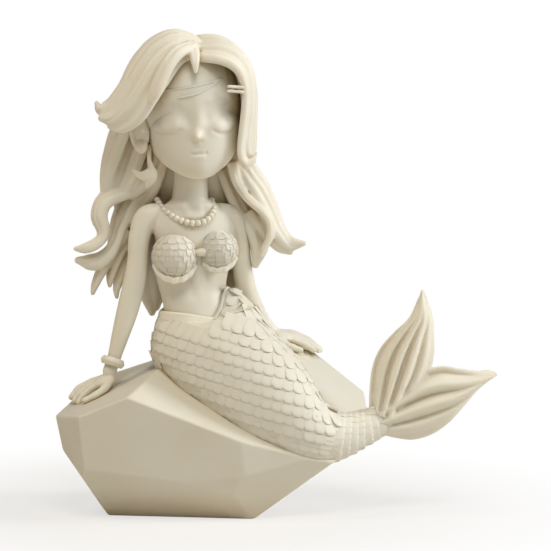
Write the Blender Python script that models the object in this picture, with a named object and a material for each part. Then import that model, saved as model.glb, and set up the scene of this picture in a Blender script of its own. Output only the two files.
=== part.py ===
"""Mermaid figurine, cast in one piece: a girl with a fish tail sits on a cut stone.

Metres, +Z up. The viewer stands on the -Y side and looks along +Y, and +X is on their right.
The origin is the middle of the stone's flat underside. Tables are in millimetres and are
multiplied by MM when they are read. Heights in the figure's tables are given above the
underside, for a seat at SEAT_DRAWN, and the whole figure follows SEAT_HEIGHT.
"""
import math

import bmesh
import bpy
from mathutils import Matrix, Vector

MM = 0.001

# Stone: the flat seat on its top, and the softened edge between two cut faces.
SEAT_HEIGHT = 51.4 * MM
SEAT_DRAWN = 51.4 * MM
STONE_EDGE = 0.7 * MM
STONE_HEART = Vector((0, 0, 25 * MM))
STONE_BLANK = 200 * MM
# Each cut: compass angle (0 faces the viewer, +90 faces +X), tilt up from level, both in
# degrees, and the distance in millimetres from the stone's heart.
STONE_CUTS = {
    "front": (-4, -3, 32.8),
    "chip": (-3, -18, 34.2),
    "band": (-9, -38, 32.4),
    "left": (-64, -7, 43.2),
    "left_underside": (-81, -34, 37.0),
    "hand_slope": (-79, 67, 24.6),
    "back_slope_left": (-96, 74, 24.4),
    "front_right": (11, -1, 37.2),
    "low_right": (17, -26, 38.4),
    "right_slope": (63, 48, 39.1),
    "right_end": (91, 7, 61.2),
    "right_underside": (90, -54, 33.8),
    "back": (170, 12, 29.7),
    "back_left": (-112, -15, 31.8),
    "back_far_left": (-150, 10, 33.0),
    "back_right": (130, -10, 55.0),
    "back_underside": (176, -36, 27.0),
}
# Hollow the tail lies in: the stone is cut away above the first plane and in front of the
# second, which stands upright under the tail.
TAIL_HOLLOW = {
    "floor": (43, 62, 19.8),
    "rear_wall": (-17, 0, -1.4),
}

# Body
HEAD_CENTRE = Vector((2.4, 0.5, 131.5)) * MM
HEAD_HALF_WIDTH = 15.4 * MM
HEAD_HALF_DEPTH = 16.5 * MM
HEAD_TURN = 8
HEAD_TILT = -4
NECK_RADIUS = 5.8 * MM
CHEST_HALF_WIDTH = 13.6 * MM
CHEST_HALF_DEPTH = 8.0 * MM
CHEST_Y = 0.6 * MM
CHEST_TURN = 13
CUP_RADIUS = 7.2 * MM
UPPER_ARM_RADIUS = 3.6 * MM
WRIST_RADIUS = 2.3 * MM
FINGER_RADIUS = 1.35 * MM
BEAD_RADIUS = 1.25 * MM
BRACELET_RADIUS = 1.5 * MM
EAR_HEIGHT = 12 * MM

# Hair
# Core under the locks, from the crown down: x, y, height, half-width, half-depth.
HAIR_CORE = [
    (2.0, 8.0, 138.0, 14.0, 9.0),
    (2.0, 9.0, 124.0, 16.0, 8.0),
    (2.4, 9.4, 110.0, 15.0, 6.6),
    (3.0, 10.6, 96.0, 15.0, 5.4),
    (3.2, 11.6, 82.0, 13.0, 4.2),
    (3.2, 12.0, 72.0, 9.0, 3.0),
]
HAIR_DEPTH = 2.3 * MM
LOCK_GROOVE = 0.30
STRAND_WIDTH = 2.6 * MM

# Tail
TAIL_GIRTH = 18.4 * MM
SCALE_ROWS = 23
SCALES_AROUND = 18
SCALE_STEP = 0.8 * MM
WAISTBAND_STEP = 1.1 * MM
WAISTBAND_WIDTH = 2.4 * MM
FIN_ROOT_THICKNESS = 6.5 * MM
FIN_EDGE_THICKNESS = 1.5 * MM
FIN_FOLD_DEPTH = 1.7 * MM
FIN_CURL = 5.0 * MM
FIN_Y = -13 * MM

# Modelling grain of the upper body, and how many triangles it keeps.
SCULPT_GRAIN = 0.75 * MM
UPPER_BODY_TRIANGLES = 6300

CAST_COLOUR = (0.80, 0.74, 0.63, 1.0)

# Cross-sections of the body: height, middle x, middle y, then shares of the chest's
# half-width and half-depth.
TORSO = [
    (104.0, 1.7, 1.0, 0.43, 0.70),
    (101.0, 2.2, 0.8, 0.74, 0.70),
    (98.6, 2.8, 0.8, 1.05, 0.75),
    (94.5, 3.0, 0.6, 1.08, 0.90),
    (88.0, 3.2, 0.6, 0.96, 1.00),
    (79.5, 2.1, 1.0, 0.91, 0.90),
    (74.0, 2.3, 1.0, 0.84, 0.88),
    (69.0, 3.4, 0.6, 0.82, 0.95),
    (62.0, 5.0, 0.0, 0.88, 1.12),
]

# Head from the chin up: height against the middle of the head, then shares of the head's
# half-width and half-depth, and how far the section's middle lies in front of the head's.
HEAD_SECTIONS = [
    (-20.4, 0.10, 0.12, 9.6),
    (-19.6, 0.30, 0.28, 8.6),
    (-17.9, 0.50, 0.48, 6.6),
    (-15.6, 0.70, 0.68, 4.4),
    (-13.2, 0.84, 0.84, 2.4),
    (-10.2, 0.94, 0.94, 1.0),
    (-5.0, 1.00, 0.99, 0.2),
    (1.0, 1.00, 1.00, 0.0),
    (7.0, 0.99, 1.00, -0.3),
    (13.0, 0.92, 0.95, -0.8),
    (18.5, 0.76, 0.80, -1.0),
    (22.0, 0.50, 0.55, -1.0),
    (23.8, 0.20, 0.22, -1.0),
]

# Arms from the shoulder down: x, y, height and how far the radius has gone from the upper
# arm's (0) to the wrist's (1).
LEFT_ARM = [
    (-9.0, -1.0, 99.0, 0.15),
    (-13.0, -1.5, 97.5, -0.2),
    (-15.2, -2.0, 91.0, -0.05),
    (-15.9, -2.2, 83.0, 0.1),
    (-17.2, -2.6, 75.0, -0.1),
    (-19.3, -3.4, 66.5, 0.0),
    (-21.6, -4.4, 58.5, 0.5),
    (-23.6, -5.4, 51.5, 1.0),
    (-25.2, -6.2, 46.5, 0.95),
]
RIGHT_ARM = [
    (12.0, 2.5, 99.0, 0.3),
    (15.6, 3.5, 97.0, -0.05),
    (17.8, 5.0, 90.5, 0.1),
    (18.6, 6.5, 82.0, 0.2),
    (20.2, 8.5, 72.5, 0.15),
    (23.2, 11.5, 65.5, 0.45),
    (26.6, 13.8, 60.0, 0.9),
    (29.5, 14.5, 56.6, 0.85),
]
LEFT_FINGERS = [
    [(-26.5, -4.0, 44.2), (-31.0, -3.0, 42.6), (-35.6, -3.6, 40.4), (-38.2, -5.2, 37.6)],
    [(-26.5, -5.6, 44.0), (-31.5, -5.6, 41.8), (-35.2, -6.6, 39.2), (-37.0, -8.0, 36.8)],
    [(-26.5, -7.2, 43.6), (-31.0, -8.2, 41.0), (-34.0, -9.4, 38.6), (-35.6, -10.4, 36.6)],
    [(-24.8, -7.6, 44.0), (-26.6, -11.0, 41.6), (-29.6, -13.4, 39.6), (-33.4, -14.4, 37.8)],
]
RIGHT_FINGERS = [
    [(31.0, 16.4, 56.8), (36.0, 17.4, 56.2), (41.4, 17.0, 53.9), (45.2, 16.0, 50.9)],
    [(31.0, 14.6, 56.4), (36.5, 15.2, 55.4), (41.4, 14.8, 53.0), (44.6, 14.0, 51.0)],
    [(31.0, 13.0, 56.0), (36.0, 12.8, 54.5), (40.4, 12.2, 52.8), (43.0, 11.6, 51.4)],
    [(30.0, 11.4, 55.6), (33.0, 9.0, 54.0), (36.2, 8.0, 52.6), (38.6, 7.8, 51.8)],
]
# String of pearls: x, how far it lies in front of the chest's middle as a share of the
# chest's half-depth, and height.
NECKLACE = [
    (-9.4, 0.0, 103.2),
    (-7.3, 0.50, 100.6),
    (-3.9, 0.82, 98.2),
    (0.2, 1.00, 96.6),
    (4.2, 1.02, 96.2),
    (7.6, 0.85, 97.4),
    (9.4, 0.45, 100.0),
    (8.8, -0.05, 103.0),
]
# Bodice cups: x, share of the chest's half-depth in front of its middle, height, size.
CUPS = [
    (-3.4, 0.82, 85.0, 1.05),
    (11.0, 0.56, 87.0, 0.9),
]

# Hair locks: points along the middle (x, y, height, half-width). The fringe faces away from
# the middle of the head, the side locks from behind the shoulders, the back ones from the body.
FRINGE = {
    "left_outer": [(4.0, -2.0, 155.0, 4.0), (-3.0, -3.5, 157.6, 5.4), (-10.0, -5.5, 154.6, 5.6),
                   (-15.4, -7.6, 147.6, 5.0), (-19.4, -9.0, 140.6, 4.2), (-23.6, -9.4, 135.4, 3.4),
                   (-27.4, -9.0, 134.0, 2.2), (-28.6, -8.6, 136.0, 1.0)],
    "left_middle": [(4.0, -6.0, 154.6, 3.4), (-3.0, -9.5, 154.8, 4.6), (-9.4, -12.5, 149.6, 4.8),
                    (-14.0, -14.4, 142.4, 4.4), (-18.6, -14.4, 135.8, 3.8), (-23.4, -12.6, 131.4, 3.0),
                    (-27.4, -10.8, 131.2, 1.6)],
    "left_inner": [(3.6, -9.5, 153.8, 3.0), (-2.6, -13.6, 151.4, 4.0), (-7.4, -16.2, 145.0, 4.2),
                   (-11.4, -17.0, 138.6, 4.0), (-15.6, -16.2, 133.0, 3.6), (-20.4, -14.0, 129.2, 2.6),
                   (-24.4, -12.0, 128.6, 1.2)],
    "left_front": [(3.4, -11.6, 153.8, 2.2), (-1.0, -15.4, 151.6, 3.0), (-4.6, -17.6, 147.4, 3.0),
                   (-7.4, -18.6, 142.8, 2.6), (-9.8, -18.6, 138.8, 1.8)],
    "centre_tip": [(3.8, -11.0, 155.0, 2.2), (3.6, -15.0, 152.6, 2.4), (3.8, -17.0, 149.6, 1.7),
                   (3.8, -17.6, 147.0, 0.8)],
    "right_outer": [(5.0, -1.0, 154.4, 4.0), (11.0, -2.0, 155.0, 5.0), (17.0, -3.0, 151.0, 5.2),
                    (20.6, -3.6, 143.0, 4.6), (21.6, -3.4, 133.0, 4.0), (21.2, -3.0, 123.0, 3.4),
                    (20.4, -3.0, 115.0, 2.4)],
    "right_middle": [(5.4, -6.0, 153.8, 3.6), (11.0, -8.0, 153.4, 4.4), (16.6, -9.4, 148.6, 4.4),
                     (19.8, -9.6, 141.0, 3.8), (21.0, -9.0, 131.0, 3.2), (20.6, -8.6, 122.0, 2.8),
                     (21.0, -8.6, 117.4, 2.2), (22.8, -8.0, 117.6, 1.0)],
    "right_under": [(9.4, -12.8, 150.0, 2.4), (14.0, -13.8, 144.6, 2.6), (16.8, -13.4, 137.6, 2.4),
                    (17.8, -12.6, 128.0, 2.0), (17.6, -11.8, 119.0, 1.4)],
    "right_inner": [(5.6, -10.0, 152.6, 3.0), (10.6, -12.6, 151.0, 3.6), (15.4, -13.4, 146.4, 3.4),
                    (18.2, -13.2, 139.6, 2.6), (19.0, -12.6, 131.0, 2.0), (18.6, -12.2, 122.0, 2.0),
                    (18.4, -11.8, 117.4, 2.0), (20.6, -11.2, 114.8, 1.8), (23.2, -9.6, 116.6, 1.0)],
}
SIDE_LOCKS = {
    "ear_strand": [(-12.4, -2.0, 124.0, 1.6), (-11.6, -3.6, 117.0, 1.5), (-11.4, -4.4, 112.0, 1.7),
                   (-12.0, -5.0, 108.6, 2.2), (-12.2, -5.2, 105.6, 0.8)],
    "left_side": [(-17.0, -2.0, 134.0, 4.4), (-21.6, 0.0, 126.0, 4.4), (-24.4, 1.6, 118.0, 4.0),
                  (-26.4, 2.4, 111.0, 2.8), (-27.6, 2.6, 105.8, 1.0)],
    "left_inner_side": [(-15.0, 2.0, 130.0, 4.2), (-17.4, 3.0, 120.0, 4.4), (-20.0, 3.6, 112.0, 3.8),
                        (-23.0, 3.4, 105.0, 2.6)],
    "left_mid_side": [(-12.6, -1.0, 130.0, 3.6), (-15.6, 0.6, 121.0, 3.8), (-18.6, 2.0, 112.6, 3.6),
                      (-21.6, 2.6, 106.0, 2.6)],
    "left_far_side": [(-20.0, 3.0, 130.0, 4.0), (-22.6, 4.0, 121.0, 4.0), (-25.0, 4.0, 112.6, 3.4),
                      (-25.6, 3.6, 105.0, 2.4)],
    "left_neck": [(-8.0, 4.0, 122.0, 4.0), (-10.0, 5.0, 113.0, 4.4), (-13.0, 5.4, 105.0, 4.4),
                  (-17.0, 5.6, 97.0, 4.0)],
    "left_s_upper": [(-9.0, 5.0, 116.0, 4.0), (-15.0, 4.6, 109.6, 5.0), (-22.6, 3.0, 105.8, 5.2),
                     (-27.4, 1.4, 99.6, 5.0), (-26.8, 0.0, 93.0, 5.0), (-28.4, -1.0, 88.4, 4.2),
                     (-33.0, -1.6, 86.8, 3.0), (-37.2, -2.0, 87.6, 1.0)],
    "left_s_lower": [(-14.0, 5.6, 104.0, 4.6), (-20.0, 4.4, 98.0, 5.0), (-21.6, 2.6, 90.6, 5.0),
                     (-24.4, 1.2, 84.4, 4.4), (-29.6, 0.2, 81.6, 3.4), (-34.0, -0.4, 82.6, 2.2),
                     (-37.0, -0.6, 84.4, 0.8)],
    "left_tip_outer": [(-18.0, 6.6, 96.0, 4.6), (-22.4, 6.2, 87.0, 4.4), (-26.6, 5.2, 79.6, 3.6),
                       (-29.6, 4.4, 74.4, 2.4), (-31.2, 4.0, 70.6, 0.8)],
    "left_tip_inner": [(-14.0, 8.0, 94.0, 4.4), (-17.4, 8.0, 84.0, 4.4), (-20.8, 7.0, 76.4, 3.4),
                       (-22.8, 6.0, 70.2, 1.0)],
    "right_outer_long": [(16.0, 3.0, 124.0, 4.4), (19.6, 4.0, 114.0, 4.6), (24.4, 4.2, 106.4, 4.8),
                         (28.0, 4.0, 99.0, 4.4), (30.6, 3.4, 92.6, 3.8), (34.4, 2.6, 88.6, 2.8),
                         (39.4, 2.0, 88.6, 1.0)],
    "right_s_inner": [(15.4, 0.0, 118.0, 2.6), (18.0, 0.4, 111.4, 2.8), (22.0, 0.6, 105.6, 3.0),
                      (26.2, 0.6, 100.0, 3.0), (27.8, 0.8, 93.6, 2.8), (26.6, 1.0, 87.4, 2.2),
                      (24.6, 1.2, 82.0, 0.9)],
    "right_fill": [(14.0, 6.6, 114.0, 5.0), (18.6, 6.6, 103.0, 5.4), (23.0, 6.2, 94.4, 5.2),
                   (24.6, 5.6, 87.6, 4.0), (23.4, 5.2, 81.4, 1.6)],
    "right_lower": [(22.0, 5.6, 100.0, 4.0), (27.6, 5.0, 92.4, 4.0), (31.0, 4.2, 87.6, 3.0),
                    (34.6, 3.4, 85.2, 1.2)],
}

BACK_LOCKS = {
    "left_back": [(-9.0, 10.0, 112.0, 5.4), (-11.6, 11.4, 98.0, 5.6), (-12.8, 12.0, 84.0, 5.0),
                  (-13.2, 11.6, 73.0, 3.8), (-11.4, 10.6, 64.6, 1.4)],
    "left_back_inner": [(-4.0, 11.6, 100.0, 5.0), (-6.4, 12.0, 88.0, 5.0), (-8.4, 12.0, 78.0, 4.4),
                        (-9.4, 11.6, 71.0, 3.4), (-9.8, 11.2, 66.4, 1.6)],
    "right_back": [(9.0, 11.0, 112.0, 5.4), (13.0, 12.4, 98.0, 5.6), (15.4, 13.0, 85.0, 4.8),
                   (15.0, 12.6, 76.0, 3.2), (13.0, 11.8, 69.4, 1.2)],
    "left_crown": [(2.0, 0.0, 156.4, 3.0), (-6.0, 0.2, 156.6, 5.0), (-13.4, 0.4, 151.4, 5.4),
                   (-18.2, 0.4, 143.4, 5.2), (-20.8, 0.8, 134.0, 4.8), (-22.0, 2.0, 125.0, 4.0)],
    "right_crown": [(4.6, 0.0, 155.6, 3.0), (11.6, 0.6, 154.8, 5.0), (17.8, 1.6, 149.4, 5.2),
                    (20.8, 2.0, 140.4, 4.8), (21.0, 2.4, 130.0, 4.4), (20.4, 3.0, 120.0, 4.0)],
    "left_temple": [(0.6, 2.0, 156.2, 2.8), (-7.0, 5.0, 154.4, 5.0), (-14.6, 7.6, 147.0, 5.6),
                    (-18.2, 8.6, 137.0, 5.6), (-20.0, 9.4, 125.0, 5.4), (-19.6, 9.8, 112.0, 5.2),
                    (-20.6, 9.4, 100.0, 4.6), (-19.6, 8.6, 88.0, 3.4)],
    "right_temple": [(4.6, 2.0, 156.0, 2.8), (11.0, 4.6, 154.0, 4.8), (18.0, 6.8, 147.0, 5.2),
                     (20.6, 7.6, 137.0, 5.2), (21.0, 8.0, 126.0, 5.2), (20.6, 9.0, 114.0, 5.0),
                     (22.6, 9.4, 103.0, 4.4), (24.6, 8.4, 93.0, 3.0)],
    "back_left": [(1.0, 4.0, 156.2, 2.6), (-5.0, 10.0, 154.0, 4.6), (-10.0, 15.4, 147.0, 5.8),
                  (-12.6, 17.2, 136.0, 6.2), (-13.0, 16.6, 122.0, 6.2), (-11.0, 16.4, 106.0, 5.6),
                  (-9.4, 17.0, 91.0, 5.0), (-7.0, 15.8, 78.0, 3.6), (-6.6, 14.4, 68.6, 1.2)],
    "back_middle": [(2.5, 5.0, 156.4, 2.6), (2.0, 13.0, 153.6, 5.0), (1.0, 19.0, 146.0, 6.2),
                    (1.0, 20.8, 135.0, 6.4), (2.4, 18.8, 121.0, 6.4), (4.0, 17.4, 105.0, 5.8),
                    (2.0, 18.4, 90.0, 5.0), (3.4, 16.8, 76.0, 3.6), (2.0, 15.0, 65.6, 1.2)],
    "back_right": [(4.0, 4.0, 156.2, 2.6), (9.0, 10.0, 154.0, 4.6), (14.0, 15.0, 147.0, 5.8),
                   (16.2, 16.8, 136.0, 6.2), (16.6, 16.0, 122.0, 6.2), (14.0, 16.2, 106.0, 5.6),
                   (12.6, 17.2, 91.0, 5.0), (11.0, 16.0, 79.0, 3.6), (11.6, 14.6, 70.0, 1.2)],
}

# Middle line of the tail: x, y, height, then half-width and half-depth as shares of the girth.
TAIL_LINE = [
    (4.2, 0.6, 69.0, 0.66, 0.56),
    (5.6, -0.4, 64.6, 0.84, 0.66),
    (7.6, -2.2, 59.2, 0.98, 0.74),
    (13.3, -8.0, 50.8, 1.00, 0.80),
    (25.7, -16.0, 40.0, 0.91, 0.76),
    (35.0, -20.0, 31.6, 0.76, 0.65),
    (42.4, -21.0, 27.4, 0.60, 0.54),
    (50.0, -19.0, 26.7, 0.44, 0.41),
    (58.3, -16.0, 28.7, 0.325, 0.29),
    (64.3, -14.0, 31.2, 0.27, 0.20),
    (69.4, -13.0, 34.0, 0.26, 0.13),
]

# Fin lobes: the two edges from root to tip, as (x, height), and the number of folds.
UPPER_LOBE = {
    "edge_a": [(61.0, 33.6), (61.0, 39.0), (61.8, 48.0), (64.4, 54.8), (69.0, 60.2), (73.8, 64.6),
               (76.2, 69.0), (78.2, 74.4)],
    "edge_b": [(71.0, 32.0), (75.6, 39.0), (80.4, 45.6), (82.4, 52.0), (82.6, 58.6), (82.2, 65.0),
               (80.6, 70.4), (79.0, 74.6)],
    "folds": 3.5,
}
LOWER_LOBE = {
    "edge_a": [(64.0, 36.4), (71.0, 42.0), (78.0, 47.0), (84.6, 49.2), (90.4, 48.4), (96.4, 47.4),
               (101.0, 47.4), (103.6, 46.6)],
    "edge_b": [(65.0, 26.4), (70.0, 25.2), (75.6, 24.6), (81.6, 26.2), (87.4, 30.0), (92.6, 35.6),
               (97.4, 41.0), (103.4, 45.6)],
    "folds": 2.5,
}


def clear_scene():
    for scene_object in list(bpy.data.objects):
        bpy.data.objects.remove(scene_object, do_unlink=True)


def lifted(x, y, height):
    """A point of the figure's tables, in metres, carried up and down with the seat."""
    return Vector((x * MM, y * MM, height * MM + SEAT_HEIGHT - SEAT_DRAWN))


def smooth_rows(rows, steps):
    """Rows of numbers read from a smooth curve through the given rows."""
    last = len(rows) - 1
    result = []
    for i in range(last):
        before, here = rows[max(i - 1, 0)], rows[i]
        after, beyond = rows[i + 1], rows[min(i + 2, last)]
        for step in range(steps):
            t = step / steps
            row = []
            for a, b, c, d in zip(before, here, after, beyond):
                bend = (2 * a - 5 * b + 4 * c - d) * t * t + (3 * b - a - 3 * c + d) * t ** 3
                row.append(0.5 * (2 * b + (c - a) * t + bend))
            result.append(tuple(row))
    result.append(tuple(rows[last]))
    return result


def add_object(name, mesh_data):
    mesh = bpy.data.meshes.new(name)
    mesh_data.normal_update()
    mesh_data.to_mesh(mesh)
    mesh_data.free()
    new_object = bpy.data.objects.new(name, mesh)
    bpy.context.scene.collection.objects.link(new_object)
    return new_object


def skin_rings(name, rings):
    """Closed body through rings of points, each end closed with a fan."""
    mesh_data = bmesh.new()
    loops = [[mesh_data.verts.new(point) for point in ring] for ring in rings]
    count = len(loops[0])
    for lower, upper in zip(loops, loops[1:]):
        for k in range(count):
            following = (k + 1) % count
            mesh_data.faces.new((lower[k], lower[following], upper[following], upper[k]))
    for loop in (loops[0], loops[-1]):
        centre = mesh_data.verts.new(sum((v.co for v in loop), Vector()) / count)
        for k in range(count):
            mesh_data.faces.new((loop[k], loop[(k + 1) % count], centre))
    bmesh.ops.recalc_face_normals(mesh_data, faces=mesh_data.faces)
    return add_object(name, mesh_data)


def tangents(points):
    last = len(points) - 1
    return [(points[min(i + 1, last)] - points[max(i - 1, 0)]).normalized() for i in range(last + 1)]


def tube(name, points, radii, sides=10, side_hint=Vector((1, 0, 0))):
    """Round or flattened tube: radii are (half-width, half-depth) pairs, width along the hint."""
    rings = []
    for point, along, (half_width, half_depth) in zip(points, tangents(points), radii):
        across = (side_hint - side_hint.dot(along) * along).normalized()
        outward = along.cross(across)
        ring = []
        for k in range(sides):
            angle = 2 * math.pi * k / sides
            ring.append(point + across * (half_width * math.cos(angle))
                        + outward * (half_depth * math.sin(angle)))
        rings.append(ring)
    return skin_rings(name, rings)


def ball(name, centre, radii, turn=Matrix.Identity(4), subdivisions=3):
    mesh_data = bmesh.new()
    bmesh.ops.create_icosphere(mesh_data, subdivisions=subdivisions, radius=1.0)
    matrix = Matrix.Translation(centre) @ turn @ Matrix.Diagonal((*radii, 1.0))
    bmesh.ops.transform(mesh_data, matrix=matrix, verts=mesh_data.verts)
    return add_object(name, mesh_data)


def lock(name, rows, anchor_line):
    """Hair lock: a flat tube that tapers to its tip, with a groove along its middle."""
    rows = smooth_rows(rows, 4)
    points = [lifted(x, y, z) for x, y, z, _ in rows]
    sides = 24
    widest = max(row[3] for row in rows) * MM
    strands = max(1, round(2 * widest / STRAND_WIDTH))
    rings = []
    for i, (point, along) in enumerate(zip(points, tangents(points))):
        anchor = anchor_line(point)
        outward = (point - anchor).normalized()
        across = along.cross(outward).normalized()
        outward = across.cross(along)
        half_width = rows[i][3] * MM
        depth = HAIR_DEPTH * min(1.0, 0.35 + half_width / (5 * MM))
        ring = []
        for k in range(sides):
            angle = 2 * math.pi * k / sides
            groove = 0.5 - 0.5 * math.cos(2 * math.pi * strands * (0.5 + 0.5 * math.cos(angle)))
            ridge = 1 - LOCK_GROOVE * (1 - groove) * max(math.sin(angle), 0)
            ring.append(point + across * (half_width * math.cos(angle))
                        + outward * (depth * ridge * math.sin(angle)))
        rings.append(ring)
    return skin_rings(name, rings)


def head_anchor(point):
    return Vector((HEAD_CENTRE.x, HEAD_CENTRE.y + 1 * MM, min(HEAD_CENTRE.z, point.z)))


def behind_shoulders(point):
    return Vector((HEAD_CENTRE.x, 24 * MM, point.z))


def body_axis(point):
    return Vector((HEAD_CENTRE.x, -3 * MM, min(HEAD_CENTRE.z, point.z)))


def head_frame():
    turn = Matrix.Rotation(math.radians(HEAD_TURN), 4, "Z")
    tilt = Matrix.Rotation(math.radians(HEAD_TILT), 4, "Y")
    centre = HEAD_CENTRE + Vector((0, 0, SEAT_HEIGHT - SEAT_DRAWN))
    return Matrix.Translation(centre) @ turn @ tilt


def head():
    frame = head_frame()
    pieces = []
    rings = []
    for height, width, depth, forward in smooth_rows(HEAD_SECTIONS, 3):
        ring = []
        for k in range(32):
            angle = 2 * math.pi * k / 32
            x = HEAD_HALF_WIDTH * width * math.cos(angle)
            y = HEAD_HALF_DEPTH * depth * math.sin(angle) - forward * MM
            ring.append(frame @ Vector((x, y, height * MM)))
        rings.append(ring)
    pieces.append(skin_rings("skull", rings))
    front = -HEAD_HALF_DEPTH
    pieces.append(ball("nose", frame @ Vector((0, front - 0.2 * MM, -7.4 * MM)),
                       (1.7 * MM, 1.9 * MM, 1.5 * MM)))
    for side in (-1, 1):
        lid = frame @ Vector((side * 0.47 * HEAD_HALF_WIDTH, front * 0.83, -2.4 * MM))
        pieces.append(ball("eyelid", lid, (3.6 * MM, 1.9 * MM, 2.9 * MM),
                           Matrix.Rotation(math.radians(HEAD_TURN + side * 24), 4, "Z")))
    ear = frame @ Vector((-1.08 * HEAD_HALF_WIDTH, 0.16 * front, -0.26 * EAR_HEIGHT))
    lean = Matrix.Rotation(math.radians(-12), 4, "Y") @ Matrix.Rotation(math.radians(24), 4, "Z")
    pieces.append(ball("ear", ear, (2.3 * MM, 3.2 * MM, EAR_HEIGHT / 2), lean))
    return pieces


def on_chest(x, share, height):
    point = lifted(x, 0, height)
    point.y = CHEST_Y - share * CHEST_HALF_DEPTH
    return point


def torso():
    turn = Vector((math.cos(math.radians(CHEST_TURN)), math.sin(math.radians(CHEST_TURN)), 0))
    rows = smooth_rows(TORSO, 3)
    points = [lifted(x, y, height) for height, x, y, _, _ in rows]
    radii = [(row[3] * CHEST_HALF_WIDTH, row[4] * CHEST_HALF_DEPTH) for row in rows]
    pieces = [tube("torso", points, radii, 28, turn)]
    neck = [lifted(1.6, 1.2, 100.0), lifted(1.6, 1.2, 105.0), lifted(1.9, 1.4, 112.0), lifted(2.2, 2.0, 119.0)]
    pieces.append(tube("neck", neck, [(NECK_RADIUS * share, NECK_RADIUS * share)
                                      for share in (1.25, 1.02, 0.98, 1.0)], 20))
    for x, share, height, size in CUPS:
        radius = CUP_RADIUS * size
        pieces.append(ball("cup", on_chest(x, share, height), (radius, radius * 0.86, radius)))
    pieces.append(ball("knot", on_chest(5.4, 1.1, 86.6), (1.9 * MM, 1.4 * MM, 1.3 * MM)))
    return pieces


def arm(name, rows):
    rows = smooth_rows(rows, 3)
    points = [lifted(x, y, height) for x, y, height, _ in rows]
    radii = []
    for row in rows:
        radius = UPPER_ARM_RADIUS + row[3] * (WRIST_RADIUS - UPPER_ARM_RADIUS)
        radii.append((radius, radius))
    return tube(name, points, radii, 16)


def hand(name, fingers):
    pieces = []
    knuckles = sum((lifted(*finger[0]) for finger in fingers), Vector()) / len(fingers)
    middles = sum((lifted(*finger[1]) for finger in fingers), Vector()) / len(fingers)
    palm = knuckles.lerp(middles, 0.3)
    heading = math.atan2(middles.y - knuckles.y, middles.x - knuckles.x)
    slope = math.atan2(knuckles.z - middles.z, (middles - knuckles).xy.length)
    turn = Matrix.Rotation(heading, 4, "Z") @ Matrix.Rotation(slope, 4, "Y")
    pieces.append(ball(name + "_palm", palm, (4.4 * MM, 3.6 * MM, 1.9 * MM), turn))
    for number, finger in enumerate(fingers):
        rows = smooth_rows(finger, 3)
        points = [lifted(*row) for row in rows]
        count = len(points) - 1
        radii = [FINGER_RADIUS * (1.12 - 0.42 * (i / count) ** 2) for i in range(count + 1)]
        pieces.append(tube(f"{name}_finger_{number}", points, [(r, r) for r in radii], 10))
    return pieces


def jewellery():
    """String of pearls and a bracelet, each a plain cord here with its beads marked as swellings."""
    path = smooth_rows(NECKLACE, 8)
    points = [on_chest(*row) for row in path]
    radii = [BEAD_RADIUS * (0.82 + 0.18 * abs(math.cos(i * math.pi / 3))) for i in range(len(points))]
    pieces = [tube("necklace", points, [(r, r) for r in radii], 10, Vector((0, 0, 1)))]
    wrist = lifted(*LEFT_ARM[-2][:3])
    below = lifted(*LEFT_ARM[-1][:3])
    along = (below - wrist).normalized()
    across = along.cross(Vector((0, 1, 0))).normalized()
    other = along.cross(across)
    ring_radius = WRIST_RADIUS + 1.1 * MM
    mesh_data = bmesh.new()
    loops = []
    around = 20
    for k in range(around):
        angle = 2 * math.pi * k / around
        spoke = across * math.cos(angle) + other * math.sin(angle)
        centre = wrist.lerp(below, 0.35) + spoke * ring_radius
        loop = []
        for j in range(8):
            turn = 2 * math.pi * j / 8
            offset = spoke * math.cos(turn) * BRACELET_RADIUS * 0.8 + along * math.sin(turn) * BRACELET_RADIUS
            loop.append(mesh_data.verts.new(centre + offset))
        loops.append(loop)
    for k in range(around):
        here, after = loops[k], loops[(k + 1) % around]
        for j in range(8):
            mesh_data.faces.new((here[j], here[(j + 1) % 8], after[(j + 1) % 8], after[j]))
    bmesh.ops.recalc_face_normals(mesh_data, faces=mesh_data.faces)
    pieces.append(add_object("bracelet", mesh_data))
    return pieces


def hair():
    pieces = []
    centre = head_frame() @ Vector((-0.2 * MM, 3.0 * MM, 5.0 * MM))
    cap = ball("hair_cap", centre, (HEAD_HALF_WIDTH + 2.6 * MM, HEAD_HALF_DEPTH + 1.4 * MM, 20.4 * MM))
    pieces.append(cap)
    rows = smooth_rows(HAIR_CORE, 3)
    points = [lifted(*row[:3]) for row in rows]
    pieces.append(tube("hair_core", points, [(row[3] * MM, row[4] * MM) for row in rows], 24))
    for name, rows in FRINGE.items():
        pieces.append(lock(name, rows, head_anchor))
    for name, rows in SIDE_LOCKS.items():
        pieces.append(lock(name, rows, behind_shoulders))
    for name, rows in BACK_LOCKS.items():
        pieces.append(lock(name, rows, body_axis))
    return pieces


def as_plain_mesh(scene_object):
    """Replace an object's mesh by what its modifiers make of it, and drop the modifiers."""
    bpy.context.view_layer.update()
    graph = bpy.context.evaluated_depsgraph_get()
    mesh = bpy.data.meshes.new_from_object(scene_object.evaluated_get(graph))
    scene_object.modifiers.clear()
    scene_object.data = mesh
    return scene_object


def joined(name, pieces):
    """One object that holds the meshes of several, which are then removed."""
    mesh_data = bmesh.new()
    for piece in pieces:
        mesh_data.from_mesh(piece.data)
        bpy.data.objects.remove(piece, do_unlink=True)
    return add_object(name, mesh_data)


def triangle_count(mesh):
    mesh.calc_loop_triangles()
    return len(mesh.loop_triangles)


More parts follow.
